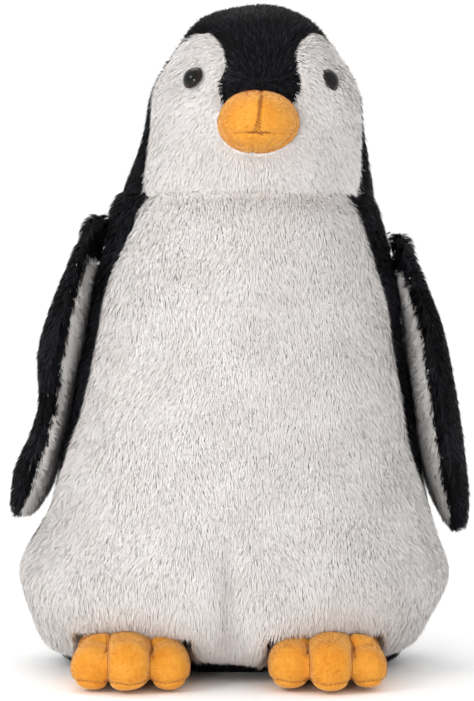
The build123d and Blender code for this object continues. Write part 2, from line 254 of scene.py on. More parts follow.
def neck_groove(points):
    """The neck seam: clear under the chin, and hardly seen at the sides and the back."""
    depth = NECK_PULL[0] + NECK_PULL[1] * smoothstep(-0.015, -0.060, points[..., 1])
    return groove(points[..., 2] - NECK_Z, depth, NECK_PULL[2])


def bulge(points, middle, reach, height):
    """A soft rounded rise of the stuffing."""
    away = (points - np.array(middle)) / np.array(reach)
    return height * np.exp(-(away**2).sum(-1))


def uneven(points, lumps, bulges):
    """The stuffing's rise under the cloth: its lumps and its bulges."""
    rise = sum(height * wave_noise(points, size, seed) for height, size, seed in lumps)
    for middle, reach, height in bulges:
        rise = rise + bulge(points, middle, reach, height)
    return rise


FOOT_SPAN = {"left": (-0.1255, -0.0340), "right": (0.0225, 0.1135)}
FOOT_HINGE_Y = -0.070
FOOT_TOP = 0.041
FOOT_POCKET_EDGE = (-0.003, 0.006)  # the belly lifts over a foot between these distances inside its side
FOOT_POCKET_FRONT = (-0.044, -0.052)


def over_feet(points):
    """Lifts the underside of the belly onto the tops of the feet."""
    lifted = points.copy()
    for low_x, high_x in FOOT_SPAN.values():
        start, end = FOOT_POCKET_EDGE
        inside = smoothstep(low_x + start, low_x + end, points[..., 0])
        inside = inside * smoothstep(high_x - start, high_x - end, points[..., 0])
        inside = inside * smoothstep(*FOOT_POCKET_FRONT, points[..., 1])
        lifted[..., 2] += inside * np.maximum(0, FOOT_TOP - points[..., 2])
    return lifted


FRONT_COLUMNS, BACK_COLUMNS = 160, 70
DISC_ROWS, RIM_ROWS, BODY_ROWS = 15, 6, 150  # of the base's underside, its edge, and the body above it
BASE_MIDDLE = np.array([lean_x(0.0), 0.0285, SKIN_INSET])
BASE_CLOTH_Z = 0.0008


def body_grid():
    """The body's cloth, with columns along the side and centre back seams, and the row of the base's seam."""
    rim, above = np.linspace(0, BASE_RIM_Z, RIM_ROWS), np.linspace(BASE_RIM_Z, NECK_Z, BODY_ROWS)[1:]
    z_rows = np.concatenate([rim, above])
    seam = seam_turn(z_rows, FRONT_SEAM)
    full = np.full_like(seam, 2 * math.pi)
    half_turn = full / 2
    turns = np.hstack([
        spread(-seam, seam, FRONT_COLUMNS), spread(seam, half_turn, BACK_COLUMNS),
        spread(half_turn, full - seam, BACK_COLUMNS),
    ])
    grid = form_point(turns, np.broadcast_to(z_rows[:, None], turns.shape))
    normals = grid_normals(grid)
    edge = np.abs(from_front(turns) - seam[:, None])
    radius = np.linalg.norm(grid[..., :2], axis=-1)
    z = grid[..., 2]
    dart_x = DART_X + DART_LEAN * (z - DART_Z)
    dart = np.where(grid[..., 1] < 0, np.abs(grid[..., 0] - dart_x), 1)
    rise = uneven(grid, BODY_LUMPS, BODY_BULGES)
    rise = rise - groove(edge * radius, *SIDE_SEAM_PULL) - neck_groove(grid)
    rise = rise - groove(z - BASE_RIM_Z, *BASE_SEAM_PULL)
    rise = rise - groove(dart, *DART_PULL) * smoothstep(*DART_LOW, z) * smoothstep(*DART_HIGH, z)
    grid = grid + normals * (rise - SKIN_INSET)[..., None] * smoothstep(-0.001, 0.010, z)[..., None]
    shares = np.linspace(0.03, 1, DISC_ROWS + 1)[:-1]
    disc = BASE_MIDDLE + (grid[:1] - BASE_MIDDLE) * shares[:, None, None]
    disc[..., 2] = BASE_CLOTH_Z
    grid[..., 2] = np.maximum(grid[..., 2], BASE_CLOTH_Z)
    return over_feet(np.concatenate([disc, grid])), DISC_ROWS + RIM_ROWS - 1


CHEEK_COLUMNS, STRIPE_COLUMNS, NAPE_COLUMNS = 64, 48, 110
FACE_ROWS, CROWN_ROWS = 66, 30
CROWN_FROM = 0.8  # share of the crown's height above which its rows draw closer together
NARROWEST_CHEEK, NARROWEST_STRIPE = 0.02, 0.05  # turns under which a seam leaves no groove


def head_grid():
    """The head's cloth as a grid whose columns follow the cheek seams and the stripe."""
    crown_turns = np.linspace(math.asin(CROWN_FROM), math.pi / 2, CROWN_ROWS)
    z_rows = np.concatenate([
        np.linspace(NECK_Z, HEAD_WIDEST_Z + CROWN_FROM * CROWN_HEIGHT, FACE_ROWS),
        HEAD_WIDEST_Z + CROWN_HEIGHT * np.sin(crown_turns)[1:],
    ])
    seam, stripe = seam_turn(z_rows, CHEEK_SEAM), stripe_turn(z_rows)
    turns = np.hstack([
        spread(-seam, -stripe, CHEEK_COLUMNS), spread(-stripe, stripe, STRIPE_COLUMNS),
        spread(stripe, seam, CHEEK_COLUMNS), spread(seam, 2 * math.pi - seam, NAPE_COLUMNS),
    ])
    grid = form_point(turns, np.broadcast_to(z_rows[:, None], turns.shape))
    normals = form_normal(turns, grid[..., 2])
    z = grid[..., 2]
    turned = from_front(turns)
    radius = np.linalg.norm(grid[..., :2] - np.stack([lean_x(z), 0 * z], -1), axis=-1)
    on_cheek = (z < CHEEK_TOP_Z) & (seam - stripe > NARROWEST_CHEEK)[:, None]
    on_stripe = on_cheek & (stripe > NARROWEST_STRIPE)[:, None]
    rise = uneven(grid, HEAD_LUMPS, HEAD_BULGES) + CROWN_RISE * smoothstep(*CROWN_RISE_Z, z)
    for near, line in ((on_cheek, seam), (on_stripe, stripe)):
        rise = rise - np.where(near, groove((turned - line[:, None]) * radius, *CHEEK_SEAM_PULL), 0)
    chin = np.where(grid[..., 1] < 0, np.abs(grid[..., 0] - CHIN_X), 1)
    rise = rise - groove(chin, *CHIN_PULL) * smoothstep(*CHIN_LOW, z) * smoothstep(*CHIN_HIGH, z)
    rise = rise - neck_groove(grid)
    grid = grid + normals * (rise - SKIN_INSET)[..., None]
    grid[-1] = grid[-1].mean(0)
    return grid


# ---------------------------------------------------------------- cloth patches

def patch(grid, rows, columns):
    """The points, normals and quads of part of a grid. columns may run past the last one, round the back."""
    normals = grid_normals(grid)
    row_list = np.arange(*rows)
    column_list = np.arange(*columns) % grid.shape[1]
    points = grid[row_list][:, column_list]
    facing = normals[row_list][:, column_list]
    high, wide = points.shape[:2]
    index = np.arange(high * wide).reshape(high, wide)
    quads = np.stack([index[:-1, :-1], index[:-1, 1:], index[1:, 1:], index[1:, :-1]], -1).reshape(-1, 4)
    return {"points": points.reshape(-1, 3), "normals": facing.reshape(-1, 3), "quads": quads}


def join_patches(*pieces):
    """Several patches as one."""
    starts = np.cumsum([0] + [len(p["points"]) for p in pieces[:-1]])
    return {
        "points": np.vstack([p["points"] for p in pieces]),
        "normals": np.vstack([p["normals"] for p in pieces]),
        "quads": np.vstack([p["quads"] + s for p, s in zip(pieces, starts)]),
    }


def show(obj, body, slot, *nodes):
    """Puts a piece on its body, when it is given one, and hides the CAD nodes that it stands for. slot is not
    used.
    """
    if body:
        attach(obj, body)
    if nodes:
        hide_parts(*nodes)
    return obj


def new_object(name, data):
    """An object in the scene."""
    obj = bpy.data.objects.new(name, data)
    bpy.context.scene.collection.objects.link(obj)
    return obj


def smooth_mesh(name, points, faces, *materials):
    """A mesh shaded smooth."""
    mesh = bpy.data.meshes.new(name)
    mesh.from_pydata(points.tolist(), [], faces)
    mesh.polygons.foreach_set("use_smooth", np.ones(len(mesh.polygons), bool))
    for material in materials:
        mesh.materials.append(material)
    return mesh


WELD = 2e-5  # points of a patch that lie this close are one


def cloth_object(name, piece, material, depth=0.0014):
    """A patch as a sheet of cloth with a real depth, its edges closed."""
    mesh = smooth_mesh(name, piece["points"], piece["quads"].tolist(), material)
    bm = bmesh.new()
    bm.from_mesh(mesh)
    bmesh.ops.remove_doubles(bm, verts=bm.verts, dist=WELD)
    bmesh.ops.dissolve_degenerate(bm, edges=bm.edges, dist=WELD)
    bm.normal_update()
    inner = {}
    outer_faces = list(bm.faces)
    rim = [e for e in bm.edges if len(e.link_faces) == 1]
    for vert in list(bm.verts):
        inner[vert] = bm.verts.new(vert.co - vert.normal * depth)
    for face in outer_faces:
        bm.faces.new([inner[v] for v in reversed(face.verts)])
    for edge in rim:
        face = edge.link_faces[0]
        loop = next(corner for corner in face.loops if corner.edge == edge)
        a, b = loop.vert, loop.link_loop_next.vert
        bm.faces.new([b, a, inner[a], inner[b]])
    for face in bm.faces:
        face.smooth = True
    bm.to_mesh(mesh)
    bm.free()
    return new_object(name, mesh)


# ---------------------------------------------------------------- pile

FLOOR_CLEAR = 0.0006
SOFT_SHARE = 0.93  # how far a blade is shaded like the pile around it
BLADE_LENGTHS = (0.72, 1.12)  # shares of the pile's length
BLADE_WIDTHS = (0.75, 1.25)
BLADE_MIDDLE_WIDTH = 0.85  # of the width at its root
WIDE_SWIRL, FINE_SWIRL = (0.035, 0.20), (0.010, 0.12)  # size and strength of the comb's turns
LEAN_SPREAD, LEAN_WAVE = 0.11, (0.020, 0.05)
LEAN_LOW, LEAN_HIGH = 0.62, 1.25  # a blade's lower and upper half lean by these shares of its lean
TWIST_SPREAD = 0.4
TUFT_MIDDLE = 0.35  # share of a tuft's pull at the middle of its blades
TINT_PATCH, TINT_SPREAD, TINT_LIMIT = 0.025, 0.9, 1.1

# Three fixed directions and a scale that scatter the points of a lattice
LATTICE_TURNS = ((12.7, 31.1, 7.4), (26.9, 18.3, 24.6), (11.3, 27.1, 12.4))
LATTICE_SCALE = 43758.5453


def clump_centres(points, size, seed):
    """The nearest point of a jittered lattice to each point: the middle of its tuft."""
    cell = np.floor(points / size).astype(np.int64)
    best = np.full(len(points), np.inf)
    centre = np.zeros_like(points)
    for offset in np.ndindex(3, 3, 3):
        near = cell + np.array(offset) - 1
        jitter = np.empty(points.shape)
        for axis, (a, b, c) in enumerate(LATTICE_TURNS):
            mixed = np.sin(near[:, 0] * a + near[:, 1] * b + near[:, 2] * c + seed) * LATTICE_SCALE
            jitter[:, axis] = mixed - np.floor(mixed)
        candidate = (near + jitter) * size
        distance = ((candidate - points) ** 2).sum(-1)
        closer = distance < best
        best[closer] = distance[closer]
        centre[closer] = candidate[closer]
    return centre


def sample_patch(piece, per_square_metre, rng):
    """Random places on a patch, denser where its weight is high: point, normal, comb and length."""
    quads = piece["quads"]
    triangles = np.vstack([quads[:, [0, 1, 2]], quads[:, [0, 2, 3]]])
    corners = piece["points"][triangles]
    area = np.linalg.norm(np.cross(corners[:, 1] - corners[:, 0], corners[:, 2] - corners[:, 0]), axis=-1) / 2
    share = area * piece["weight"][triangles].mean(1)
    total = share.sum()
    count = int(total * per_square_metre)
    pick = np.searchsorted(np.cumsum(share), rng.uniform(0, total, count)).clip(0, len(triangles) - 1)
    u, v = rng.random(count), rng.random(count)
    flip = u + v > 1
    u[flip], v[flip] = 1 - u[flip], 1 - v[flip]
    mix = np.stack([1 - u - v, u, v], -1)[..., None]
    chosen = triangles[pick]
    found = {key: (piece[key][chosen] * mix).sum(1) for key in ("points", "normals", "comb")}
    found["length"] = (piece["length"][chosen][..., None] * mix).sum(1)[:, 0]
    return found


def strands(found, width, lean, clump_size, clump_pull, mess, seed):
    """Tapered blades, two segments each, that lean along the comb and gather into tufts."""
    rng = np.random.default_rng(seed)
    count = len(found["points"])
    root, normal = found["points"], unit(found["normals"])
    comb = found["comb"] - (found["comb"] * normal).sum(-1, keepdims=True) * normal
    comb = unit(comb + 1e-9)
    across = np.cross(normal, comb)
    swirl = wave_noise(root, WIDE_SWIRL[0], seed + 1) * WIDE_SWIRL[1]
    swirl = swirl + wave_noise(root, FINE_SWIRL[0], seed + 2) * FINE_SWIRL[1]
    swirl = swirl + rng.normal(0, mess, count)
    comb = comb * np.cos(swirl)[:, None] + across * np.sin(swirl)[:, None]
    length = found["length"] * rng.uniform(*BLADE_LENGTHS, count)
    own_lean = lean + rng.normal(0, LEAN_SPREAD, count)
    own_lean = own_lean + LEAN_WAVE[1] * wave_noise(root, LEAN_WAVE[0], seed + 3)
    low, high = [
        np.cos(own_lean * share)[:, None] * normal + np.sin(own_lean * share)[:, None] * comb
        for share in (LEAN_LOW, LEAN_HIGH)
    ]
    middle = root + low * (length * 0.5)[:, None]
    tip = middle + high * (length * 0.5)[:, None]
    centre = clump_centres(root, clump_size, seed)
    centre = centre - ((centre - root) * normal).sum(-1, keepdims=True) * normal
    shift = (centre - root) * clump_pull
    middle = middle + shift * TUFT_MIDDLE
    tip = tip + shift
    along = unit(tip - root)
    side = unit(np.cross(along, normal) + 1e-9)
    twist = rng.normal(0, TWIST_SPREAD, count)
    side = side * np.cos(twist)[:, None] + np.cross(along, side) * np.sin(twist)[:, None]
    side = side * (width / 2 * rng.uniform(*BLADE_WIDTHS, count))[:, None]
    inner = side * BLADE_MIDDLE_WIDTH
    points = np.stack([root - side, root + side, middle + inner, middle - inner, tip], 1)
    points[..., 2] = np.maximum(points[..., 2], FLOOR_CLEAR)
    face = np.cross(points[:, 1] - points[:, 0], points[:, 4] - points[:, 0])
    inward = (face * normal).sum(-1) < 0
    points[inward] = points[inward][:, [1, 0, 3, 2, 4]]
    face[inward] *= -1
    soft = unit(SOFT_SHARE * normal + (1 - SOFT_SHARE) * unit(face))
    return points, soft


def pile_object(name, blades, soft, materials, tint):
    """Blades as one mesh, each blade in the material that tint names, shaded along soft."""
    count = len(blades)
    mesh = bpy.data.meshes.new(name)
    mesh.vertices.add(count * 5)
    mesh.vertices.foreach_set("co", blades.reshape(-1).astype(np.float32))
    base = (np.arange(count) * 5)[:, None]
    corners = np.hstack([base + [0, 1, 2, 3], base + [3, 2, 4]]).reshape(-1)
    mesh.loops.add(len(corners))
    mesh.loops.foreach_set("vertex_index", corners.astype(np.int32))
    mesh.polygons.add(count * 2)
    sizes = np.tile([4, 3], count)
    mesh.polygons.foreach_set("loop_start", (np.cumsum(sizes) - sizes).astype(np.int32))
    mesh.polygons.foreach_set("material_index", np.repeat(tint, 2).astype(np.int32))
    mesh.polygons.foreach_set("use_smooth", np.ones(count * 2, bool))
    mesh.update(calc_edges=True)
    mesh.normals_split_custom_set_from_vertices(np.repeat(soft, 5, axis=0).astype(np.float32))
    for material in materials:
        mesh.materials.append(material)
    return new_object(name, mesh)


MOST_BLADES = 62000  # three triangles each, under the limit of one exported piece


def grow_pile(name, piece, per_square_metre, width, lie, materials, seed):
    """Pile over a patch, in as many pieces as its number of blades needs. lie is a row of LIES."""
    rng = np.random.default_rng(seed)
    found = sample_patch(piece, per_square_metre, rng)
    lean, mess, clump = lie
    blades, soft = strands(found, width, lean, clump[0], clump[1], mess, seed)
    patchy = wave_noise(found["points"], TINT_PATCH, seed + 7) + rng.normal(0, TINT_SPREAD, len(blades))
    limits = np.linspace(-TINT_LIMIT, TINT_LIMIT, len(materials) + 1)[1:-1]
    tint = np.searchsorted(limits, patchy)
    order = np.argsort(found["points"][:, 2], kind="stable")
    parts = max(1, math.ceil(len(blades) / MOST_BLADES))
    return [
        pile_object(f"{name}_{i + 1}", blades[chunk], soft[chunk], materials, tint[chunk])
        for i, chunk in enumerate(np.array_split(order, parts))
    ]


# ---------------------------------------------------------------- materials

def principled(name, colour, roughness, **settings):
    """A material with the same numbers all over."""
    material = bpy.data.materials.new(name)
    material.use_nodes = True
    shader = material.node_tree.nodes["Principled BSDF"]
    shader.inputs["Base Color"].default_value = (*colour, 1)
    shader.inputs["Roughness"].default_value = roughness
    for key, value in settings.items():
        shader.inputs[key].default_value = value
    return material


def colour_ramp(nodes, stops):
    """A colour ramp with (position, colour) stops."""
    ramp = nodes.new("ShaderNodeValToRGB")
    elements = ramp.color_ramp.elements
    for place, (position, colour) in enumerate(stops):
        element = elements[place] if place < 2 else elements.new(position)
        element.position = position
        element.color = (*colour, 1)
    return ramp


def add_node(material, kind, **values):
    """A node with numbers on its sockets, named in the keys with underscores for spaces."""
    node = material.node_tree.nodes.new("ShaderNode" + kind)
    for key, value in values.items():
        node.inputs[key.replace("_", " ")].default_value = value
    return node


def wire(material, *links):
    """Links of (node, output, node, input)."""
    for source, output, target, socket in links:
        material.node_tree.links.new(source.outputs[output], target.inputs[socket])


def woven_backing(name, dark, light, scale=900.0):
    """Knitted backing cloth: fine loops in two close tones, with matching bump."""
    material = principled(name, light, 0.9, **{"Specular IOR Level": 0.15})
    shader = material.node_tree.nodes["Principled BSDF"]
    place = add_node(material, "TexCoord")
    knit = add_node(material, "TexVoronoi", Scale=scale)
    ramp = colour_ramp(material.node_tree.nodes, [(0.0, dark), (1.0, light)])
    bump = add_node(material, "Bump", Strength=0.5, Distance=0.0005)
    wire(
        material, (place, "Object", knit, "Vector"), (knit, "Distance", ramp, "Fac"),
        (ramp, "Color", shader, "Base Color"), (knit, "Distance", bump, "Height"),
        (bump, "Normal", shader, "Normal"),
    )
    return material


def velour(name, shaded, middle, lit):
    """Short-nap velour: brushed patches, fine streaks of nap and a soft sheen."""
    material = principled(name, middle, 0.78, **{
        "Specular IOR Level": 0.2, "Sheen Weight": 0.55, "Sheen Roughness": 0.42,
        "Sheen Tint": (1.0, 0.80, 0.42, 1.0),
    })
    shader = material.node_tree.nodes["Principled BSDF"]
    place = add_node(material, "TexCoord")
    stretch = add_node(material, "Mapping", Scale=(1.0, 1.0, 0.35))
    brushed = add_node(material, "TexNoise", Scale=55.0, Detail=4.0)
    nap = add_node(material, "TexNoise", Scale=1500.0, Detail=3.0)
    mix = add_node(material, "Math")
    mix.operation = "MULTIPLY_ADD"
    mix.inputs[1].default_value = 0.45
    ramp = colour_ramp(material.node_tree.nodes, [(0.40, shaded), (0.58, middle), (0.85, lit)])
    bump = add_node(material, "Bump", Strength=0.6, Distance=0.0004)
    wire(
        material, (place, "Object", brushed, "Vector"), (place, "Object", stretch, "Vector"),
        (stretch, "Vector", nap, "Vector"), (nap, "Fac", mix, 0), (brushed, "Fac", mix, 2),
        (mix, "Value", ramp, "Fac"), (ramp, "Color", shader, "Base Color"), (nap, "Fac", bump, "Height"),
        (bump, "Normal", shader, "Normal"),
    )
    return material


def moulded(name, dark, light, rough, scale, **settings):
    """Moulded plastic or twisted thread: slight cloudiness in colour and gloss."""
    material = principled(name, light, rough[0], **settings)
    shader = material.node_tree.nodes["Principled BSDF"]
    place = add_node(material, "TexCoord")
    cloud = add_node(material, "TexNoise", Scale=scale, Detail=5.0)
    ramp = colour_ramp(material.node_tree.nodes, [(0.35, dark), (0.70, light)])
    gloss = add_node(material, "MapRange", To_Min=rough[0], To_Max=rough[1])
    wire(
        material, (place, "Object", cloud, "Vector"), (cloud, "Fac", ramp, "Fac"),
        (cloud, "Fac", gloss, "Value"), (ramp, "Color", shader, "Base Color"),
        (gloss, "Result", shader, "Roughness"),
    )
    return material


def pile_tints(name, tints, **settings):
    """The tints of one pile: blades take them in soft patches."""
    return [principled(f"{name}_{i}", tone, rough, **settings) for i, (tone, rough) in enumerate(tints)]


WHITE_BACK = woven_backing("white_backing", (0.78, 0.76, 0.73), (0.90, 0.88, 0.86))
BLACK_BACK = woven_backing("black_backing", (0.003, 0.003, 0.004), (0.010, 0.010, 0.012))
FIBRE = woven_backing("fibre_fill", (0.62, 0.62, 0.60), (0.85, 0.85, 0.84), scale=220.0)
ORANGE_CLOTH = velour("orange_velour", (0.57, 0.180, 0.010), (0.66, 0.245, 0.018), (0.73, 0.32, 0.040))
WHITE_PILE = pile_tints(
    "white_pile", [((0.735, 0.706, 0.688), 0.8), ((0.762, 0.734, 0.716), 0.8), ((0.790, 0.764, 0.748), 0.75)],
    **{"Specular IOR Level": 0.2, "Sheen Weight": 0.12, "Sheen Roughness": 0.5},
)
# The black pile's lightest, bluish tint is painted sheen: strands in random patches are coloured lighter to
# stand for glints of light.
BLACK_PILE = pile_tints(
    "black_pile", [((0.002, 0.002, 0.003), 0.65), ((0.004, 0.004, 0.005), 0.6), ((0.013, 0.013, 0.017), 0.5)],
    **{"Specular IOR Level": 0.09},
)
ORANGE_NAP = pile_tints(
    "orange_nap", [((0.53, 0.165, 0.009), 0.8), ((0.59, 0.210, 0.014), 0.75), ((0.64, 0.270, 0.032), 0.7)],
    **{
        "Specular IOR Level": 0.2, "Sheen Weight": 0.45, "Sheen Roughness": 0.4,
        "Sheen Tint": (1.0, 0.86, 0.55, 1.0),
    },
)
EYE_GLOSS = {"Specular IOR Level": 0.25}
EYE_BLACK = moulded("eye_black", (0.001,) * 3, (0.003, 0.002, 0.002), (0.03, 0.07), 300.0, **EYE_GLOSS)
EYE_BROWN = moulded(
    "eye_brown", (0.004, 0.002, 0.002), (0.018, 0.007, 0.005), (0.05, 0.12), 700.0, **EYE_GLOSS,
)
NYLON = moulded("nylon", (0.70, 0.69, 0.66), (0.84, 0.83, 0.81), (0.35, 0.5), 400.0)
ORANGE_THREAD = moulded("orange_thread", (0.27, 0.075, 0.006), (0.44, 0.15, 0.014), (0.55, 0.75), 2500.0)
BLACK_THREAD = moulded("black_thread", (0.004, 0.004, 0.005), (0.02, 0.02, 0.022), (0.5, 0.7), 2500.0)


# ---------------------------------------------------------------- body and head

def dressed(piece, length, comb, weight=None):
    """Adds the pile's length, comb direction and density to a patch."""
    count = len(piece["points"])
    piece["length"] = np.full(count, length) if np.isscalar(length) else length
    piece["comb"] = comb
    piece["weight"] = np.ones(count) if weight is None else weight
    return piece


def hanging(points):
    """Comb direction of pile that hangs."""
    return np.tile((0.0, 0.0, -1.0), (len(points), 1))


def bend_neck(obj):
    """Bakes a piece's placement into its mesh."""
    x = float(lean_x(NECK_Z))
    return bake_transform(obj)


FILL_INSET = 0.0030  # from the cloth to the surface of the stuffing
FILL_STEP = 3  # the stuffing needs only every third row and column


def closed_fill(name, grid, material):
    """Stuffing: the grid drawn inward and closed at both ends."""
    inner = (grid - grid_normals(grid) * FILL_INSET)[::FILL_STEP, ::FILL_STEP]
    high, wide = inner.shape[:2]
    index = np.arange(high * wide).reshape(high, wide)
    right = np.roll(index, -1, 1)
    quads = np.stack([index[:-1], right[:-1], right[1:], index[1:]], -1).reshape(-1, 4)
    points = np.vstack([inner.reshape(-1, 3), inner[0].mean(0)[None], inner[-1].mean(0)[None]])
    middle = high * wide
    low_fan = [(int(right[0, i]), int(index[0, i]), middle) for i in range(wide)]
    high_fan = [(int(index[-1, i]), int(right[-1, i]), middle + 1) for i in range(wide)]
    return new_object(name, smooth_mesh(name, points, quads.tolist() + low_fan + high_fan, material))


WHITE_DENSITY, WHITE_WIDTH = 1.60e6, 0.00056
BLACK_DENSITY, BLACK_WIDTH = 0.62e6, 0.00085


# How each kind of pile lies: lean, disorder, size and pull of its tufts
LIES = {
    "white": (1.12, 0.14, (0.006, 0.08)), "black": (1.08, 0.26, (0.006, 0.28)),
    "flipper": (1.15, 0.20, (0.005, 0.24)), "lining": (0.90, 0.45, (0.006, 0.45)),
    "nap": (0.90, 0.50, (0.002, 0.20)),
}


def plush_panel(node, piece, white, seed, place, lies=None):
    """One panel: its cloth, which stands for the CAD node, and its pile. place is applied to each of them."""
    slot = "white_plush" if white else "black_plush"
    skin = cloth_object(node + "_cloth", piece, WHITE_BACK if white else BLACK_BACK)
    show(place(skin), None, slot, node)
    density, width = (WHITE_DENSITY, WHITE_WIDTH) if white else (BLACK_DENSITY, BLACK_WIDTH)
    tints = WHITE_PILE if white else BLACK_PILE
    lie = LIES[lies or ("white" if white else "black")]
    for pile in grow_pile(node + "_pile", piece, density, width, lie, tints, seed):
        show(place(pile), None, slot)
    return skin


BEAK_CENTRE = np.array((0.016, -0.080, 0.428))
BEAK_HALF = np.array((0.033, 0.048, 0.027))
BEAK_TUCK = 0.0015  # the pile grows this far in under the beak
EYE_PLACES = {"left": (-0.0515, 0.4640), "right": (0.0550, 0.4625)}  # x from the centreline, z
EYE_R = 0.009
EYE_DOME = 0.006
# Radius and height of the points of the thin flange behind the dome
EYE_EDGE = ((EYE_R + 0.0003, -0.0002), (EYE_R, -0.0006), (0.0060, -0.0008), (0.0026, -0.0009))
EYE_RIM, EYE_RIM_BACK = 0.80 * EYE_R, -0.0005  # the brown rim begins at this radius, and ends at this height
EYE_RINGS, EYE_SIDES = 22, 48
SHANK_TOP, SHANK_END, SHANK_RIDGE = -0.0009, -0.0135, 0.0011
SHANK_R, SHANK_RIDGE_UP = 0.0021, 0.0003
SHANK_TIP = (0.0014, 0.0003)  # radius and length
EYE_BARE = 0.0076  # radius where no pile grows round an eye
EYE_BARE_OUT = 0.0014  # and how far its middle lies from the eye's, away from the beak


def face_point(x_out, z):
    """Point of the head's front at x_out from its centreline."""
    half, depth, offset = ring_at(z)
    return np.array((lean_x(z) + x_out, offset - depth * math.sqrt(1 - (x_out / half) ** 2), z))


def face_normal(x_out, z):
    """Outward direction of the head's front at x_out from its centreline."""
    step = 0.001
    across = face_point(x_out + step, z) - face_point(x_out - step, z)
    upward = face_point(x_out, z + step) - face_point(x_out, z - step)
    return unit(np.cross(across, upward))


def clear_of_face(points):
    """0 under the beak and the eyes, 1 on the rest of the head, and the distance from the nearest of them."""
    beak = np.linalg.norm((points - BEAK_CENTRE) / (BEAK_HALF - BEAK_TUCK), axis=-1) - 1
    away = beak * BEAK_HALF.min()
    for x_out, z in EYE_PLACES.values():
        middle = face_point(x_out + math.copysign(EYE_BARE_OUT, x_out), z)
        away = np.minimum(away, np.linalg.norm(points - middle, axis=-1) - EYE_BARE)
    return smoothstep(0.0, 0.0006, away), away


def head_comb(points, white):
    """Pile lies away from the beak, down the cheeks and back over the crown."""
    away = points - BEAK_CENTRE
    away[:, 1] *= 0.3
    away = unit(away)
    down = np.array((0.0, 0.0, -1.0))
    if white:
        return unit(0.55 * away + 0.8 * down)
    back = np.array((0.0, 1.0, -0.15))
    over = smoothstep(0.445, 0.475, points[:, 2])[:, None]
    return unit(over * back + (1 - over) * down + 0.3 * away)


BODY, RIM_ROW = body_grid()
HEAD = head_grid()
BACK_MIDDLE = FRONT_COLUMNS + BACK_COLUMNS
BODY_COLUMNS = BODY.shape[1]
ROWS = BODY.shape[0]
BODY_PANELS = {
    "base_panel": ((0, RIM_ROW + 1), (0, BODY_COLUMNS + 1)),
    "belly_panel": ((RIM_ROW, ROWS), (0, FRONT_COLUMNS + 1)),
    "back_panel_right": ((RIM_ROW, ROWS), (FRONT_COLUMNS, BACK_MIDDLE + 1)),
    "back_panel_left": ((RIM_ROW, ROWS), (BACK_MIDDLE, BODY_COLUMNS + 1)),
}
PILE_LENGTH = 0.0100
HEAD_PILE_LENGTH = 0.0090
FACE_PILE_SHARE, FACE_PILE_REACH = 0.55, 0.014  # the pile is shorter this near to the beak and the eyes
CROWN_PILE_CUT, CROWN_PILE_Z = 0.25, (0.495, 0.520)
RIM_PILE_LENGTH = 0.0085
BASE_PILE_Z = (0.0012, 0.0030)  # the base's pile thins out to nothing between these heights


def bare_over_feet(piece):
    """No pile grows inside the pockets that the feet sit in, nor under the base."""
    points, normals = piece["points"], piece["normals"]
    under = smoothstep(0.15, 0.45, -normals[:, 2])
    weight = np.ones(len(points))
    for low_x, high_x in FOOT_SPAN.values():
        over = (points[:, 0] > low_x - 0.002) & (points[:, 0] < high_x + 0.002) & (points[:, 1] < -0.046)
        weight = weight * np.where(over & (points[:, 2] < FOOT_TOP + 0.0025), 1 - under, 1)
    return weight * smoothstep(*BASE_PILE_Z, points[:, 2])


for seed, (node, (rows, columns)) in enumerate(BODY_PANELS.items()):
    piece = patch(BODY, rows, columns)
    length = RIM_PILE_LENGTH if node == "base_panel" else PILE_LENGTH
    dressed(piece, length, hanging(piece["points"]), bare_over_feet(piece))
    plush_panel(node, piece, node == "belly_panel", 100 + seed, bend_neck)
show(bend_neck(closed_fill("body_filling", BODY, FIBRE)), None, "fibre_fill", "body_stuffing")

CAP_LOW_Z = 0.430
STRIPE_START, STRIPE_END = CHEEK_COLUMNS, CHEEK_COLUMNS + STRIPE_COLUMNS
FACE_END = STRIPE_END + CHEEK_COLUMNS
HEAD_ROWS = HEAD.shape[0]
HEAD_Z = HEAD[:, 0, 2]
CHEEK_ROWS = int(np.searchsorted(HEAD_Z, CHEEK_TOP_Z)) + 1
CAP_START = int(np.searchsorted(HEAD_Z, CAP_LOW_Z)) - 2
HEAD_PANELS = {
    "cheek_left": [((0, CHEEK_ROWS), (0, STRIPE_START + 1))],
    "cheek_right": [((0, CHEEK_ROWS), (STRIPE_END, FACE_END + 1))],
    "head_cap": [
        ((CAP_START, HEAD_ROWS), (STRIPE_START, STRIPE_END + 1)),
        ((CHEEK_ROWS - 1, HEAD_ROWS), (0, STRIPE_START + 1)),
        ((CHEEK_ROWS - 1, HEAD_ROWS), (STRIPE_END, FACE_END + 1)),
    ],
    "head_back": [((0, HEAD_ROWS), (FACE_END, HEAD.shape[1] + 1))],
}
for seed, (node, spans) in enumerate(HEAD_PANELS.items()):
    piece = join_patches(*[patch(HEAD, *span) for span in spans])
    white = node.startswith("cheek")
    bare, away = clear_of_face(piece["points"])
    grown = smoothstep(0.0, FACE_PILE_REACH, away)
    length = HEAD_PILE_LENGTH * (FACE_PILE_SHARE + (1 - FACE_PILE_SHARE) * grown)
    length = length * (1 - CROWN_PILE_CUT * smoothstep(*CROWN_PILE_Z, piece["points"][:, 2]))
    dressed(piece, length, head_comb(piece["points"], white), bare)
    plush_panel(node, piece, white, 120 + seed, bend_neck)
show(bend_neck(closed_fill("head_filling", HEAD, FIBRE)), None, "fibre_fill", "head_stuffing")


# ---------------------------------------------------------------- stuffed pieces blown up from their filling

def as_piece(mesh):
    """Points, normals and quads of a mesh made only of quads."""
    points = np.empty(len(mesh.vertices) * 3)
    mesh.vertices.foreach_get("co", points)
    normals = np.empty(len(mesh.vertices) * 3)
    mesh.vertices.foreach_get("normal", normals)
    quads = np.empty(len(mesh.loops), np.int64)
    mesh.loops.foreach_get("vertex_index", quads)
    return {"points": points.reshape(-1, 3), "normals": normals.reshape(-1, 3), "quads": quads.reshape(-1, 4)}


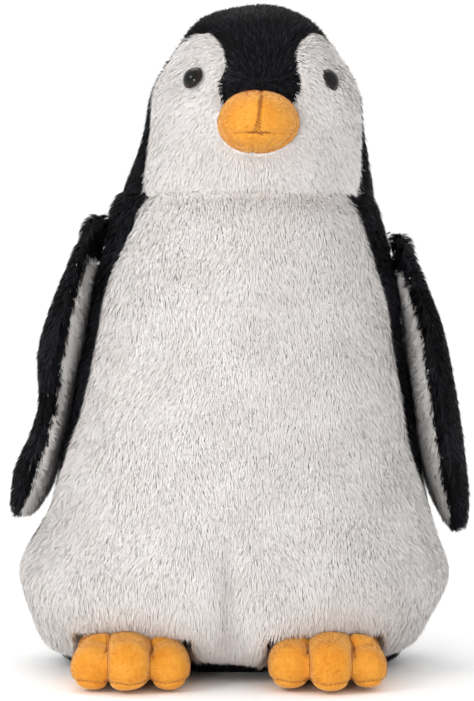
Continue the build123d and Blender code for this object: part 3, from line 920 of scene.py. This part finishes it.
def through_modifier(obj, kind, **settings):
    """The mesh that one modifier makes of an object, applied."""
    modifier = obj.modifiers.new(kind.lower(), kind)
    for key, value in settings.items():
        setattr(modifier, key, value)
    graph = bpy.context.evaluated_depsgraph_get()
    mesh = bpy.data.meshes.new_from_object(obj.evaluated_get(graph))
    obj.modifiers.clear()
    obj.data = mesh
    return mesh


SIM_FRAMES = 20


def blow_up(obj, pinned, pressure, most):
    """Swells a stuffed piece with cloth under pressure, no point moving further than most."""
    start = as_piece(obj.data)
    group = obj.vertex_groups.new(name="sewn")
    group.add(np.flatnonzero(pinned).tolist(), 1.0, "REPLACE")
    cloth = obj.modifiers.new("cloth", "CLOTH")
    cloth.settings.quality = 6
    cloth.settings.use_pressure = True
    cloth.settings.uniform_pressure_force = pressure
    cloth.settings.effector_weights.gravity = 0
    cloth.settings.tension_stiffness = 12
    cloth.settings.compression_stiffness = 12
    cloth.settings.bending_stiffness = 0.6
    cloth.settings.vertex_group_mass = group.name
    cloth.point_cache.frame_end = SIM_FRAMES
    for frame_number in range(1, SIM_FRAMES + 1):
        bpy.context.scene.frame_set(frame_number)
    graph = bpy.context.evaluated_depsgraph_get()
    mesh = bpy.data.meshes.new_from_object(obj.evaluated_get(graph))
    moved = as_piece(mesh)["points"] - start["points"]
    reach = np.linalg.norm(moved, axis=-1, keepdims=True)
    moved = moved * np.minimum(1, most / np.maximum(reach, 1e-9))
    obj.modifiers.clear()
    obj.vertex_groups.clear()
    bpy.context.scene.frame_set(1)
    return start["points"] + moved


def stuffed(node, voxel, most, pinned=None, pressure=4.0, smoothing=2):
    """The outer cloth of a stuffed piece: its CAD filling, remeshed, blown up and made finer."""
    obj = new_object(node + "_blown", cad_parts[node].data.copy())
    mesh = through_modifier(obj, "REMESH", mode="VOXEL", voxel_size=voxel)
    points = as_piece(mesh)["points"]
    held = np.zeros(len(points), bool) if pinned is None else pinned(points)
    swollen = blow_up(obj, held, pressure, most)
    obj.data.vertices.foreach_set("co", swollen.reshape(-1))
    obj.data.update()
    through_modifier(obj, "SMOOTH", factor=0.5, iterations=smoothing)
    mesh = through_modifier(obj, "SUBSURF", levels=1)
    piece = as_piece(mesh)
    bpy.data.objects.remove(obj)
    return piece


def moved_along(piece, rise):
    """A piece with each point moved along its normal, and its normals made again."""
    points = piece["points"] + piece["normals"] * rise[:, None]
    mesh = bpy.data.meshes.new("moved")
    mesh.from_pydata(points.tolist(), [], piece["quads"].tolist())
    again = as_piece(mesh)
    bpy.data.meshes.remove(mesh)
    return again


def part_of(piece, chosen):
    """The faces of a piece whose middle is chosen."""
    quads = piece["quads"][chosen(piece["points"][piece["quads"]].mean(1))]
    used, back = np.unique(quads, return_inverse=True)
    return {"points": piece["points"][used], "normals": piece["normals"][used], "quads": back.reshape(-1, 4)}


def thickness(piece):
    """Distance from each point of a closed piece to the cloth on its other side."""
    tree = tree_of(piece)
    found = [
        tree.ray_cast(Vector(point - normal * 0.0002), Vector(-normal))
        for point, normal in zip(piece["points"], piece["normals"])
    ]
    return np.array([1.0 if hit[0] is None else hit[3] for hit in found])


THIN_SHARE = 0.30  # most of a piece's thickness that its cloth or its stuffing is drawn in by
FILL_SMOOTHING = 12


def filling(name, piece, inset, body, node):
    """The stuffing of a blown piece: a smooth closed solid inside its cloth."""
    insets = np.minimum(inset, THIN_SHARE * thickness(piece))
    points = piece["points"] - piece["normals"] * insets[:, None]
    obj = new_object(name, smooth_mesh(name, points, piece["quads"].tolist(), FIBRE))
    through_modifier(obj, "SMOOTH", factor=0.5, iterations=FILL_SMOOTHING)
    return show(obj, body, "fibre_fill", node)


def tree_of(piece):
    """A piece's surface, to find where rays meet it."""
    return BVHTree.FromPolygons(piece["points"].tolist(), piece["quads"].tolist())


def tube(name, path, radius, material, sides=8):
    """A round thread along a path, with rounded ends."""
    path = np.asarray(path)
    along = unit(np.gradient(path, axis=0))
    side = unit(np.cross(along, (0.31, 0.17, 0.93)))
    up = np.cross(side, along)
    angles = np.arange(sides) * 2 * math.pi / sides
    ends = np.minimum(np.arange(len(path)), np.arange(len(path))[::-1])
    swell = radius * np.sqrt(np.clip(1 - (1 - np.minimum(ends, 2) / 2) ** 2, 0.06, 1))
    ring = np.cos(angles)[None, :, None] * side[:, None] + np.sin(angles)[None, :, None] * up[:, None]
    points = (path[:, None] + ring * swell[:, None, None]).reshape(-1, 3)
    index = np.arange(len(points)).reshape(len(path), sides)
    right = np.roll(index, -1, 1)
    faces = np.stack([index[:-1], index[1:], right[1:], right[:-1]], -1).reshape(-1, 4).tolist()
    faces += [index[0].tolist(), index[-1][::-1].tolist()]
    return new_object(name, smooth_mesh(name, points, faces, material))


def joined(name, objects):
    """Several meshes as one object."""
    bm = bmesh.new()
    for obj in objects:
        bm.from_mesh(obj.data)
    mesh = bpy.data.meshes.new(name)
    bm.to_mesh(mesh)
    bm.free()
    mesh.polygons.foreach_set("use_smooth", np.ones(len(mesh.polygons), bool))
    mesh.materials.append(objects[0].data.materials[0])
    for obj in objects:
        bpy.data.objects.remove(obj)
    return new_object(name, mesh)


CLEAR_FRONT_Y = -0.3  # in front of the whole penguin


def stitch(ends, lift, radius, material):
    """A single stitch: a short thread that rises between its two ends."""
    start, end, outward = (np.asarray(v) for v in ends)
    t = np.linspace(0, 1, 7)[:, None]
    path = start + (end - start) * t + outward * lift * np.sin(math.pi * t)
    return tube("stitch", path, radius, material, sides=6)


def on_surface(tree, origin, heading):
    """Where a ray meets a surface, with the surface's normal there."""
    hit, normal, _, _ = tree.ray_cast(Vector(origin), Vector(heading))
    return None if hit is None else (np.array(hit), np.array(normal))


def front_stitch(tree, start, end, lift, radius, longest=1.0):
    """A stitch between two places of a surface seen from the front, as (x, z), if both are on it."""
    found = [on_surface(tree, (x, CLEAR_FRONT_Y, z), (0, 1, 0)) for x, z in (start, end)]
    if None in found or np.linalg.norm(found[1][0] - found[0][0]) >= longest:
        return []
    return [stitch((found[0][0], found[1][0], found[0][1]), lift, radius, ORANGE_THREAD)]


# ---------------------------------------------------------------- nap on the velour

NAP_DENSITY, NAP_WIDTH, NAP_LENGTH = 1.2e6, 0.00030, 0.0009


def nap_on(name, piece, seed, body):
    """The velour's short nap."""
    dressed(piece, NAP_LENGTH, hanging(piece["points"]) + (0, -0.3, 0))
    for nap in grow_pile(name, piece, NAP_DENSITY, NAP_WIDTH, LIES["nap"], ORANGE_NAP, seed):
        show(nap, body, "orange_velour")


# ---------------------------------------------------------------- beak

MOUTH_Z = 0.4175
BEAK_SEAM_TOP = (0.0185, 0.446)  # x, z of the top of the sewn line
BEAK_SEAM_LOW = (0.0150, 0.4185)
BEAK_CLOTH = 0.0012
BEAK_PLUMP = 0.0012
BEAK_LUMPS = ((0.0005, 0.022, 31),)
BEAK_FRONT_Y = (-0.085, -0.110)  # the mouth and its folds fade in between these
BEAK_SEAM_PULL = (0.0010, 0.0014)
MOUTH_CLIMB, MOUTH_REACH = 0.0015, 0.020  # the mouth's line climbs so much at this distance from its middle
MOUTH_PULL, MOUTH_DEEPER = (0.0005, 0.0014), 2.2
JAW_SEAM_X, JAW_SEAM_PULL = 0.0125, (0.0012, 0.0016)
JAW_FOLD_Z = (0.4175, 0.4145)
# Folds at the corners of the jaw: a point (x, z) and slope, the x where it fades out and in, depth and width
JAW_FOLDS = (
    ((0.031, 0.4165), 1.1, (0.012, 0.020), (0.0012, 0.0016)),
    ((-0.004, 0.4160), -0.9, (0.012, 0.002), (0.0007, 0.0018)),
)
TUCK_Y, TUCK_WAVE, TUCK_PULL = -0.0885, 0.004, (0.0020, 0.0028)  # where the beak's root goes into the pile
TUCK_LEAST = 0.35  # share of the tuck's depth on the side where it is shallow
STITCH_R = 0.00042


def mouth_z(x):
    """Height of the mouth's line."""
    return MOUTH_Z + MOUTH_CLIMB * ((x - BEAK_CENTRE[0]) / MOUTH_REACH) ** 2


def beak_form():
    """The beak's cloth with its mouth, middle seams, folds and the tuck at its root."""
    piece = stuffed("beak_stuffing", 0.0022, 0.0030)
    points = piece["points"]
    x, y, z = points.T
    from_middle = x - BEAK_CENTRE[0]
    front = smoothstep(*BEAK_FRONT_Y, y)
    upper = smoothstep(MOUTH_Z - 0.001, MOUTH_Z + 0.002, z)
    seam_x = np.interp(z, (BEAK_SEAM_LOW[1], BEAK_SEAM_TOP[1]), (BEAK_SEAM_LOW[0], BEAK_SEAM_TOP[0]))
    rise = -groove(x - seam_x, *BEAK_SEAM_PULL) * upper
    deeper = 1 + MOUTH_DEEPER * smoothstep(0.022, 0.006, np.abs(from_middle))
    rise = rise - front * groove(z - mouth_z(x), *MOUTH_PULL) * deeper
    rise = rise - groove(x - JAW_SEAM_X, *JAW_SEAM_PULL) * (1 - upper)
    for (fold_x, fold_z), slope, fade_x, pull in JAW_FOLDS:
        fold = z - (fold_z + slope * (x - fold_x))
        rise = rise - groove(fold, *pull) * smoothstep(*fade_x, x) * smoothstep(*JAW_FOLD_Z, z) * front
    tuck = y - TUCK_Y - TUCK_WAVE * np.sin(3 * np.arctan2(z - BEAK_CENTRE[2], from_middle))
    edge = smoothstep(-0.012, 0.018, from_middle - 1.2 * (z - BEAK_CENTRE[2]))
    rise = rise - groove(tuck, *TUCK_PULL) * (TUCK_LEAST + (1 - TUCK_LEAST) * edge)
    rise = rise + BEAK_PLUMP + uneven(points, BEAK_LUMPS, ())
    return moved_along(piece, rise)


BEAK = beak_form()


def beak_parts():
    """The two upper panels and the lower jaw."""
    def upper(middles):
        return middles[:, 2] > MOUTH_Z

    yield "beak_upper_left", part_of(BEAK, lambda m: upper(m) & (m[:, 0] < BEAK_CENTRE[0]))
    yield "beak_upper_right", part_of(BEAK, lambda m: upper(m) & (m[:, 0] >= BEAK_CENTRE[0]))
    yield "beak_lower", part_of(BEAK, lambda m: ~upper(m))


for seed, (node, piece) in enumerate(beak_parts()):
    skin = cloth_object(node + "_cloth", piece, ORANGE_CLOTH, BEAK_CLOTH)
    show(skin, "head", "orange_velour", node)
    nap_on(node + "_nap", piece, 200 + seed, "head")
filling("beak_filling", BEAK, 0.0026, "head", "beak_stuffing")


ZIGZAG_COUNT, ZIGZAG_PITCH = 26, 0.0010
ZIGZAG_REACH = (0.0013, 0.0034)  # half width of the zigzag at the top, and what its low end adds
ZIGZAG_DROP = 0.0018
MOUTH_COUNT, MOUTH_START_X, MOUTH_PITCH, MOUTH_STITCH = 11, 0.0075, 0.0016, 0.0014


def beak_stitching():
    """Zigzag over the middle seam, wider towards the mouth, and the mouth's line of thread."""
    tree = tree_of(BEAK)
    top, low = np.array(BEAK_SEAM_TOP), np.array(BEAK_SEAM_LOW)
    zigzag, mouth = [], []
    for i, share in enumerate(np.linspace(0, 1, ZIGZAG_COUNT)):
        start = top + (low - top) * share
        reach = ZIGZAG_REACH[0] + ZIGZAG_REACH[1] * share**4
        side = 1 if i % 2 else -1
        end = start + (side * reach, -ZIGZAG_PITCH - ZIGZAG_DROP * share**3)
        zigzag += front_stitch(tree, start, end, 0.0008, STITCH_R)
    for i in range(MOUTH_COUNT):
        x = MOUTH_START_X + MOUTH_PITCH * i
        mouth += front_stitch(tree, (x, mouth_z(x)), (x + MOUTH_STITCH, mouth_z(x)), 0.0007, STITCH_R)
    show(joined("beak_zigzag", zigzag), "head", "orange_thread", "beak_seam_thread")
    show(joined("mouth_stitches", mouth), "head", "orange_thread", "mouth_thread")


beak_stitching()


# ---------------------------------------------------------------- eyes

def eye_frame(place):
    """Origin and axes of an eye's seat."""
    origin, outward = face_point(*place), face_normal(*place)
    side = unit(np.cross((0.0, 0.0, 1.0), outward))
    return origin, side, np.cross(outward, side), outward


def add_eye(side_name, place):
    """A domed safety eye: black middle, dark brown rim, thin flange and ridged shank."""
    origin, side, up, outward = eye_frame(place)
    ball = (EYE_R**2 + EYE_DOME**2) / (2 * EYE_DOME)
    angles = np.linspace(0, math.asin(EYE_R / ball), EYE_RINGS)
    profile = [(ball * math.sin(angle), ball * math.cos(angle) - (ball - EYE_DOME)) for angle in angles]
    profile += EYE_EDGE
    levels = np.arange(SHANK_TOP, SHANK_END, -SHANK_RIDGE / 2)
    profile += [(SHANK_R + SHANK_RIDGE_UP * (i % 2), level) for i, level in enumerate(levels)]
    profile += [(SHANK_TIP[0], SHANK_END - SHANK_TIP[1])]
    wide = EYE_SIDES
    angles = np.arange(wide) * 2 * math.pi / wide
    rings = [
        origin + radius * (np.cos(angles)[:, None] * side + np.sin(angles)[:, None] * up) + height * outward
        for radius, height in profile[1:]
    ]
    points = np.vstack([origin + profile[0][1] * outward, *rings, origin + SHANK_END * outward])
    index = 1 + np.arange(len(rings) * wide).reshape(len(rings), wide)
    right = np.roll(index, -1, 1)
    faces = [(0, int(index[0, i]), int(right[0, i])) for i in range(wide)]
    faces += np.stack([index[:-1], index[1:], right[1:], right[:-1]], -1).reshape(-1, 4).tolist()
    last = len(points) - 1
    faces += [(int(right[-1, i]), int(index[-1, i]), last) for i in range(wide)]
    mesh = smooth_mesh("eye_" + side_name, points, faces, EYE_BLACK, EYE_BROWN)
    for polygon in mesh.polygons:
        out = np.array(polygon.center) - origin
        radius = np.linalg.norm(out - (out @ outward) * outward)
        polygon.material_index = int(radius > EYE_RIM and out @ outward > EYE_RIM_BACK)
    show(new_object("eye_dome_" + side_name, mesh), "head", "eye_gloss", "eye_" + side_name)


for side_name, place in EYE_PLACES.items():
    add_eye(side_name, place)
    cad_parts["eye_washer_" + side_name].data.materials.clear()
    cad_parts["eye_washer_" + side_name].data.materials.append(NYLON)


# ---------------------------------------------------------------- feet

TOES = {
    "left": [(-0.108, 0.0175, 0.157), (-0.0805, 0.0205, 0.170), (-0.0515, 0.0175, 0.158)],
    "right": [(0.0405, 0.018, 0.158), (0.0695, 0.0205, 0.170), (0.097, 0.0165, 0.156)],
}
SOLE_Z = 0.009
FOOT_CLOTH = 0.0013
TOE_ROOT_Y = -0.127  # where the tops of the toes run into the foot
TOE_ROOT_RISE = 0.0045
FOOT_PLUMP, FOOT_LUMPS = 0.0010, ((0.0006, 0.024, 41),)
TOE_PULL, SOLE_PULL = (0.0022, 0.0022), (0.0011, 0.0013)
TIE_R = 0.00045
TIE_START = (-0.122, 0.014)  # y, z inside the foot that a toe's tie runs round
TIE_TURN = (-24, 128)  # degrees, from below the toes to the top of the foot
SOLE_PITCH, SOLE_STITCH, SOLE_STITCH_R = 0.0032, (0.0019, 0.0003), 0.00026


def sole_seam_z(x):
    """Height of the slightly wavy seam between a foot's upper and its sole."""
    return SOLE_Z + 0.0010 * np.sin(x * 260)


def toe_grooves(toes):
    """x of the ties between the toes."""
    return [(near[0] + near[1] + far[0] - far[1]) / 2 for near, far in zip(toes, toes[1:])]


def foot_form(side_name):
    """A foot's cloth: three blown toes, tied between, with a sewn edge round the sole."""
    toes = TOES[side_name]
    grooves = toe_grooves(toes)

    def tied(points):
        near = np.min([np.abs(points[:, 0] - x) for x in grooves], axis=0) < 0.0016
        heel = points[:, 1] > FOOT_HINGE_Y + 0.004
        return (near & (points[:, 1] < -0.112)) | heel | (points[:, 2] < 0.0035)

    piece = stuffed("foot_stuffing_" + side_name, 0.0025, 0.0042, tied, smoothing=9)
    x, y, z = piece["points"].T
    front = smoothstep(0.100, 0.116, -y)
    roots = [
        ((toe_x, TOE_ROOT_Y, 2 * radius - 0.004), (radius, 0.018, 0.014), TOE_ROOT_RISE)
        for toe_x, radius, _ in toes
    ]
    rise = FOOT_PLUMP + uneven(piece["points"], FOOT_LUMPS, roots)
    for groove_x in grooves:
        rise = rise - groove(x - groove_x, *TOE_PULL) * front
    upright = smoothstep(0.05, 0.4, np.abs(piece["normals"][:, :2]).sum(-1))
    rise = rise - groove(z - sole_seam_z(x), *SOLE_PULL) * upright
    piece = moved_along(piece, rise)
    piece["points"][:, 2] = np.maximum(piece["points"][:, 2], 0.0002)
    return piece


def toe_ties(side_name, piece, body):
    """The threads pulled tight between the toes."""
    tree = tree_of(piece)
    threads = []
    for groove_x in toe_grooves(TOES[side_name]):
        path = []
        for angle in np.radians(np.linspace(*TIE_TURN, 40)):
            heading = (0.0, -math.cos(angle), math.sin(angle))
            found = on_surface(tree, (groove_x, *TIE_START), heading)
            if found and found[0][1] < -0.1135:
                path.append(found[0] - 0.0001 * np.array(heading))
        threads.append(tube("tie", path, TIE_R, ORANGE_THREAD))
    show(joined("toe_ties_" + side_name, threads), body, "orange_thread", "toe_thread_" + side_name)


def sole_stitches(side_name, piece, body):
    """Small stitches along the edge of the sole, round the toes."""
    tree = tree_of(piece)
    toes = TOES[side_name]
    low_x, high_x = toes[0][0] - toes[0][1], toes[-1][0] + toes[-1][1]
    stitches = []
    for x in np.arange(low_x + 0.004, high_x - 0.004, SOLE_PITCH):
        start = np.array((x, sole_seam_z(x)))
        stitches += front_stitch(tree, start, start + SOLE_STITCH, 0.0003, SOLE_STITCH_R, longest=0.004)
    show(joined("sole_stitches_" + side_name, stitches), body, "orange_thread")


for seed, side_name in enumerate(TOES):
    body = "foot_" + side_name
    foot = foot_form(side_name)
    upper = part_of(foot, lambda middles: middles[:, 2] > SOLE_Z)
    sole = part_of(foot, lambda middles: middles[:, 2] <= SOLE_Z)
    for node, piece in (("foot_upper_", upper), ("foot_sole_", sole)):
        skin = cloth_object(node + side_name + "_cloth", piece, ORANGE_CLOTH, FOOT_CLOTH)
        show(skin, body, "orange_velour", node + side_name)
    nap_on("foot_nap_" + side_name, upper, 230 + seed, body)
    filling("foot_filling_" + side_name, foot, 0.0026, body, "foot_stuffing_" + side_name)
    toe_ties(side_name, foot, body)
    sole_stitches(side_name, foot, body)


# ---------------------------------------------------------------- flippers

# Height, clearance to the body, thickness and half length of each ring
FLIPPER_RINGS = {
    "left": np.array([
        (0.357, 0.0035, 0.012, 0.017), (0.346, 0.005, 0.0155, 0.027), (0.320, 0.0065, 0.0195, 0.040),
        (0.282, 0.007, 0.025, 0.049), (0.243, 0.007, 0.0275, 0.053), (0.205, 0.007, 0.020, 0.052),
        (0.167, 0.0075, 0.0235, 0.048), (0.140, 0.008, 0.025, 0.041), (0.126, 0.010, 0.022, 0.030),
        (0.118, 0.014, 0.009, 0.014),
    ]),
    "right": np.array([
        (0.345, 0.0025, 0.010, 0.016), (0.334, 0.0035, 0.012, 0.027), (0.310, 0.0055, 0.0165, 0.038),
        (0.282, 0.007, 0.0225, 0.048), (0.243, 0.007, 0.0285, 0.053), (0.205, 0.007, 0.0305, 0.052),
        (0.167, 0.007, 0.029, 0.049), (0.140, 0.008, 0.027, 0.044), (0.118, 0.010, 0.0215, 0.034),
        (0.103, 0.012, 0.010, 0.015),
    ]),
}
SIGNS = {"left": -1, "right": 1}
FLIPPER_Y = 0.004
FLIPPER_TURN = math.radians(4.0)
LINING_SHARE = 0.30
SHOULDER_OUT = 0.0045
SHOULDER_UP = 0.004
ROOT_LENGTH = 0.030  # of the flipper's top, handed to bake_transform, which does not use it
ALL_BLACK = 0.030  # of the flipper's top that is black all round
FILL_BELOW = 0.036  # the filling ends this far below the flipper's top
OUTER_PILE_LENGTH, LINING_PILE_LENGTH = 0.0085, 0.0080
FLIPPER_LUMPS, FLIPPER_EDGE_PULL = ((0.0014, 0.06, 51),), (0.0012, 0.0035)
FLIPPER_DRAWN_IN = 0.0030  # the cloth lies this far inside the blown form, to leave room for the pile
FLIPPER_TOP_RISE, FLIPPER_TOP_BELOW = 0.0065, (0.020, 0.004)
SHOULDER_REACH, SHOULDER_PITCH, SHOULDER_DOWN = 0.014, 0.0026, 0.004


def body_side_x(z, sign):
    """x of the body's side at height z."""
    return lean_x(z) + sign * np.interp(z, BODY_RINGS[:, 0], BODY_RINGS[:, 1])


def edge_distance(points, side_name):
    """How far outside of the flipper's edge seam each point lies."""
    sign = SIGNS[side_name]
    rings = FLIPPER_RINGS[side_name][::-1]
    x, y, z = points.T
    turn = sign * FLIPPER_TURN
    straight_x = x * math.cos(turn) + (y - FLIPPER_Y) * math.sin(turn)
    inner = np.interp(z, rings[:, 0], rings[:, 1] + LINING_SHARE * rings[:, 2])
    return sign * straight_x - sign * body_side_x(z, sign) - inner


def flipper_form(side_name):
    """A flipper's cloth, lightly filled, with the seam round its edge."""
    piece = stuffed("flipper_filling_" + side_name, 0.0042, 0.0050, pressure=2.5)
    outside = edge_distance(piece["points"], side_name)
    rise = uneven(piece["points"], FLIPPER_LUMPS, ()) - groove(outside, *FLIPPER_EDGE_PULL)
    below_top = FLIPPER_RINGS[side_name][0][0] - piece["points"][:, 2]
    rise = rise + FLIPPER_TOP_RISE * smoothstep(*FLIPPER_TOP_BELOW, below_top)
    return moved_along(piece, np.maximum(rise - FLIPPER_DRAWN_IN, -THIN_SHARE / 2 * thickness(piece)))


def shoulder_place(side_name):
    """Middle of the seam that a flipper hangs from."""
    sign = SIGNS[side_name]
    z = FLIPPER_RINGS[side_name][0][0] + SHOULDER_UP
    return np.array((body_side_x(z, sign) + sign * SHOULDER_OUT, FLIPPER_Y, z))


def shoulder_seam(side_name):
    """The whipped thread that holds a flipper to the body."""
    middle = shoulder_place(side_name) - (0, 0, SHOULDER_DOWN)
    threads = []
    for y in np.arange(-SHOULDER_REACH, SHOULDER_REACH, SHOULDER_PITCH):
        start = middle + (-0.0008, y, -0.0008)
        end = middle + (0.0008, y + 0.7 * SHOULDER_PITCH, 0.0008)
        threads.append(stitch((start, end, (0, 0, 1)), 0.0003, 0.0004, BLACK_THREAD))
    seam = joined("shoulder_stitches_" + side_name, threads)
    show(seam, "shoulder_" + side_name, "black_thread", "shoulder_thread_" + side_name)


for seed, side_name in enumerate(FLIPPER_RINGS):
    form = flipper_form(side_name)
    top = shoulder_place(side_name)
    top_z = FLIPPER_RINGS[side_name][0][0]

    def bend_root(obj, side_name=side_name, top=top):
        bodies = ("shoulder_" + side_name, "flipper_" + side_name)
        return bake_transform(obj, *bodies, start=tuple(top), end=tuple(top - (0, 0, ROOT_LENGTH)))

    def on_outside(middles, side_name=side_name, top_z=top_z):
        return (edge_distance(middles, side_name) > 0) | (middles[:, 2] > top_z - ALL_BLACK)

    outer = part_of(form, on_outside)
    lining = part_of(form, lambda middles: ~on_outside(middles))
    dressed(outer, OUTER_PILE_LENGTH, hanging(outer["points"]))
    dressed(lining, LINING_PILE_LENGTH, hanging(lining["points"]))
    for node, piece, white in (("flipper_outer_", outer, False), ("flipper_lining_", lining, True)):
        lies = "lining" if white else "flipper"
        skin = plush_panel(node + side_name, piece, white, 260 + seed, bend_root, lies)
    lowered = dict(form, points=np.minimum(form["points"], (1, 1, top_z - FILL_BELOW)))
    fill = filling("flipper_fill_" + side_name, lowered, 0.0028, None, "flipper_filling_" + side_name)
    bend_root(fill)
    shoulder_seam(side_name)


# ---------------------------------------------------------------- camera, light and floor

CAMERA_AWAY = 2.0
CAMERA_HEIGHT = 0.300
VIEW_HEIGHT = 0.5608  # height of the picture in the plane through the penguin's middle
AIM = Vector((0.0, 0.0, 0.2511))


def add_camera():
    """A long lens level with the penguin's middle."""
    data = bpy.data.cameras.new("camera")
    data.sensor_fit = "VERTICAL"
    data.sensor_height = 24.0
    place = Vector((0.0, -CAMERA_AWAY, CAMERA_HEIGHT))
    away = (AIM - place).length
    data.lens = data.sensor_height * away / VIEW_HEIGHT
    camera = new_object("camera", data)
    camera.location = place
    camera.rotation_euler = (AIM - place).to_track_quat("-Z", "Y").to_euler()
    bpy.context.scene.camera = camera


WORLD_STRENGTH = 1.04
FLOOR_REACH = 40.0
LIGHT_AIM = Vector((0.0, 0.0, 0.3))
# Name, place, size, power and tint of each soft light
LIGHTS = (
    ("key", (-1.8, -1.7, 1.5), 0.9, 18, (1.0, 0.985, 0.96)),
    ("top", (-0.2, 0.6, 2.2), 1.2, 8, (1, 1, 1)),
    ("front", (-0.45, -2.0, 0.28), 0.36, 10, (1, 1, 1)),
)


def add_area(name, place, size, power, tint):
    """A square soft light that faces the penguin."""
    data = bpy.data.lights.new(name, "AREA")
    data.size = size
    data.energy = power
    data.color = tint
    light = new_object(name, data)
    light.location = place
    light.rotation_euler = (LIGHT_AIM - Vector(place)).to_track_quat("-Z", "Y").to_euler()


def add_studio():
    """White surroundings, the lights and a white floor."""
    world = bpy.data.worlds.new("studio")
    world.use_nodes = True
    world.node_tree.nodes["Background"].inputs["Color"].default_value = (1, 1, 1, 1)
    world.node_tree.nodes["Background"].inputs["Strength"].default_value = WORLD_STRENGTH
    bpy.context.scene.world = world
    for light in LIGHTS:
        add_area(*light)
    mesh = bpy.data.meshes.new("floor")
    corners = [(x * FLOOR_REACH, y * FLOOR_REACH, 0) for x, y in ((-1, -1), (1, -1), (1, 1), (-1, 1))]
    mesh.from_pydata(corners, [], [(0, 1, 2, 3)])
    mesh.materials.append(principled("floor", (0.98, 0.98, 0.98), 0.9))
    new_object("floor", mesh)
    bpy.context.scene.view_settings.view_transform = "Standard"


add_camera()
add_studio()
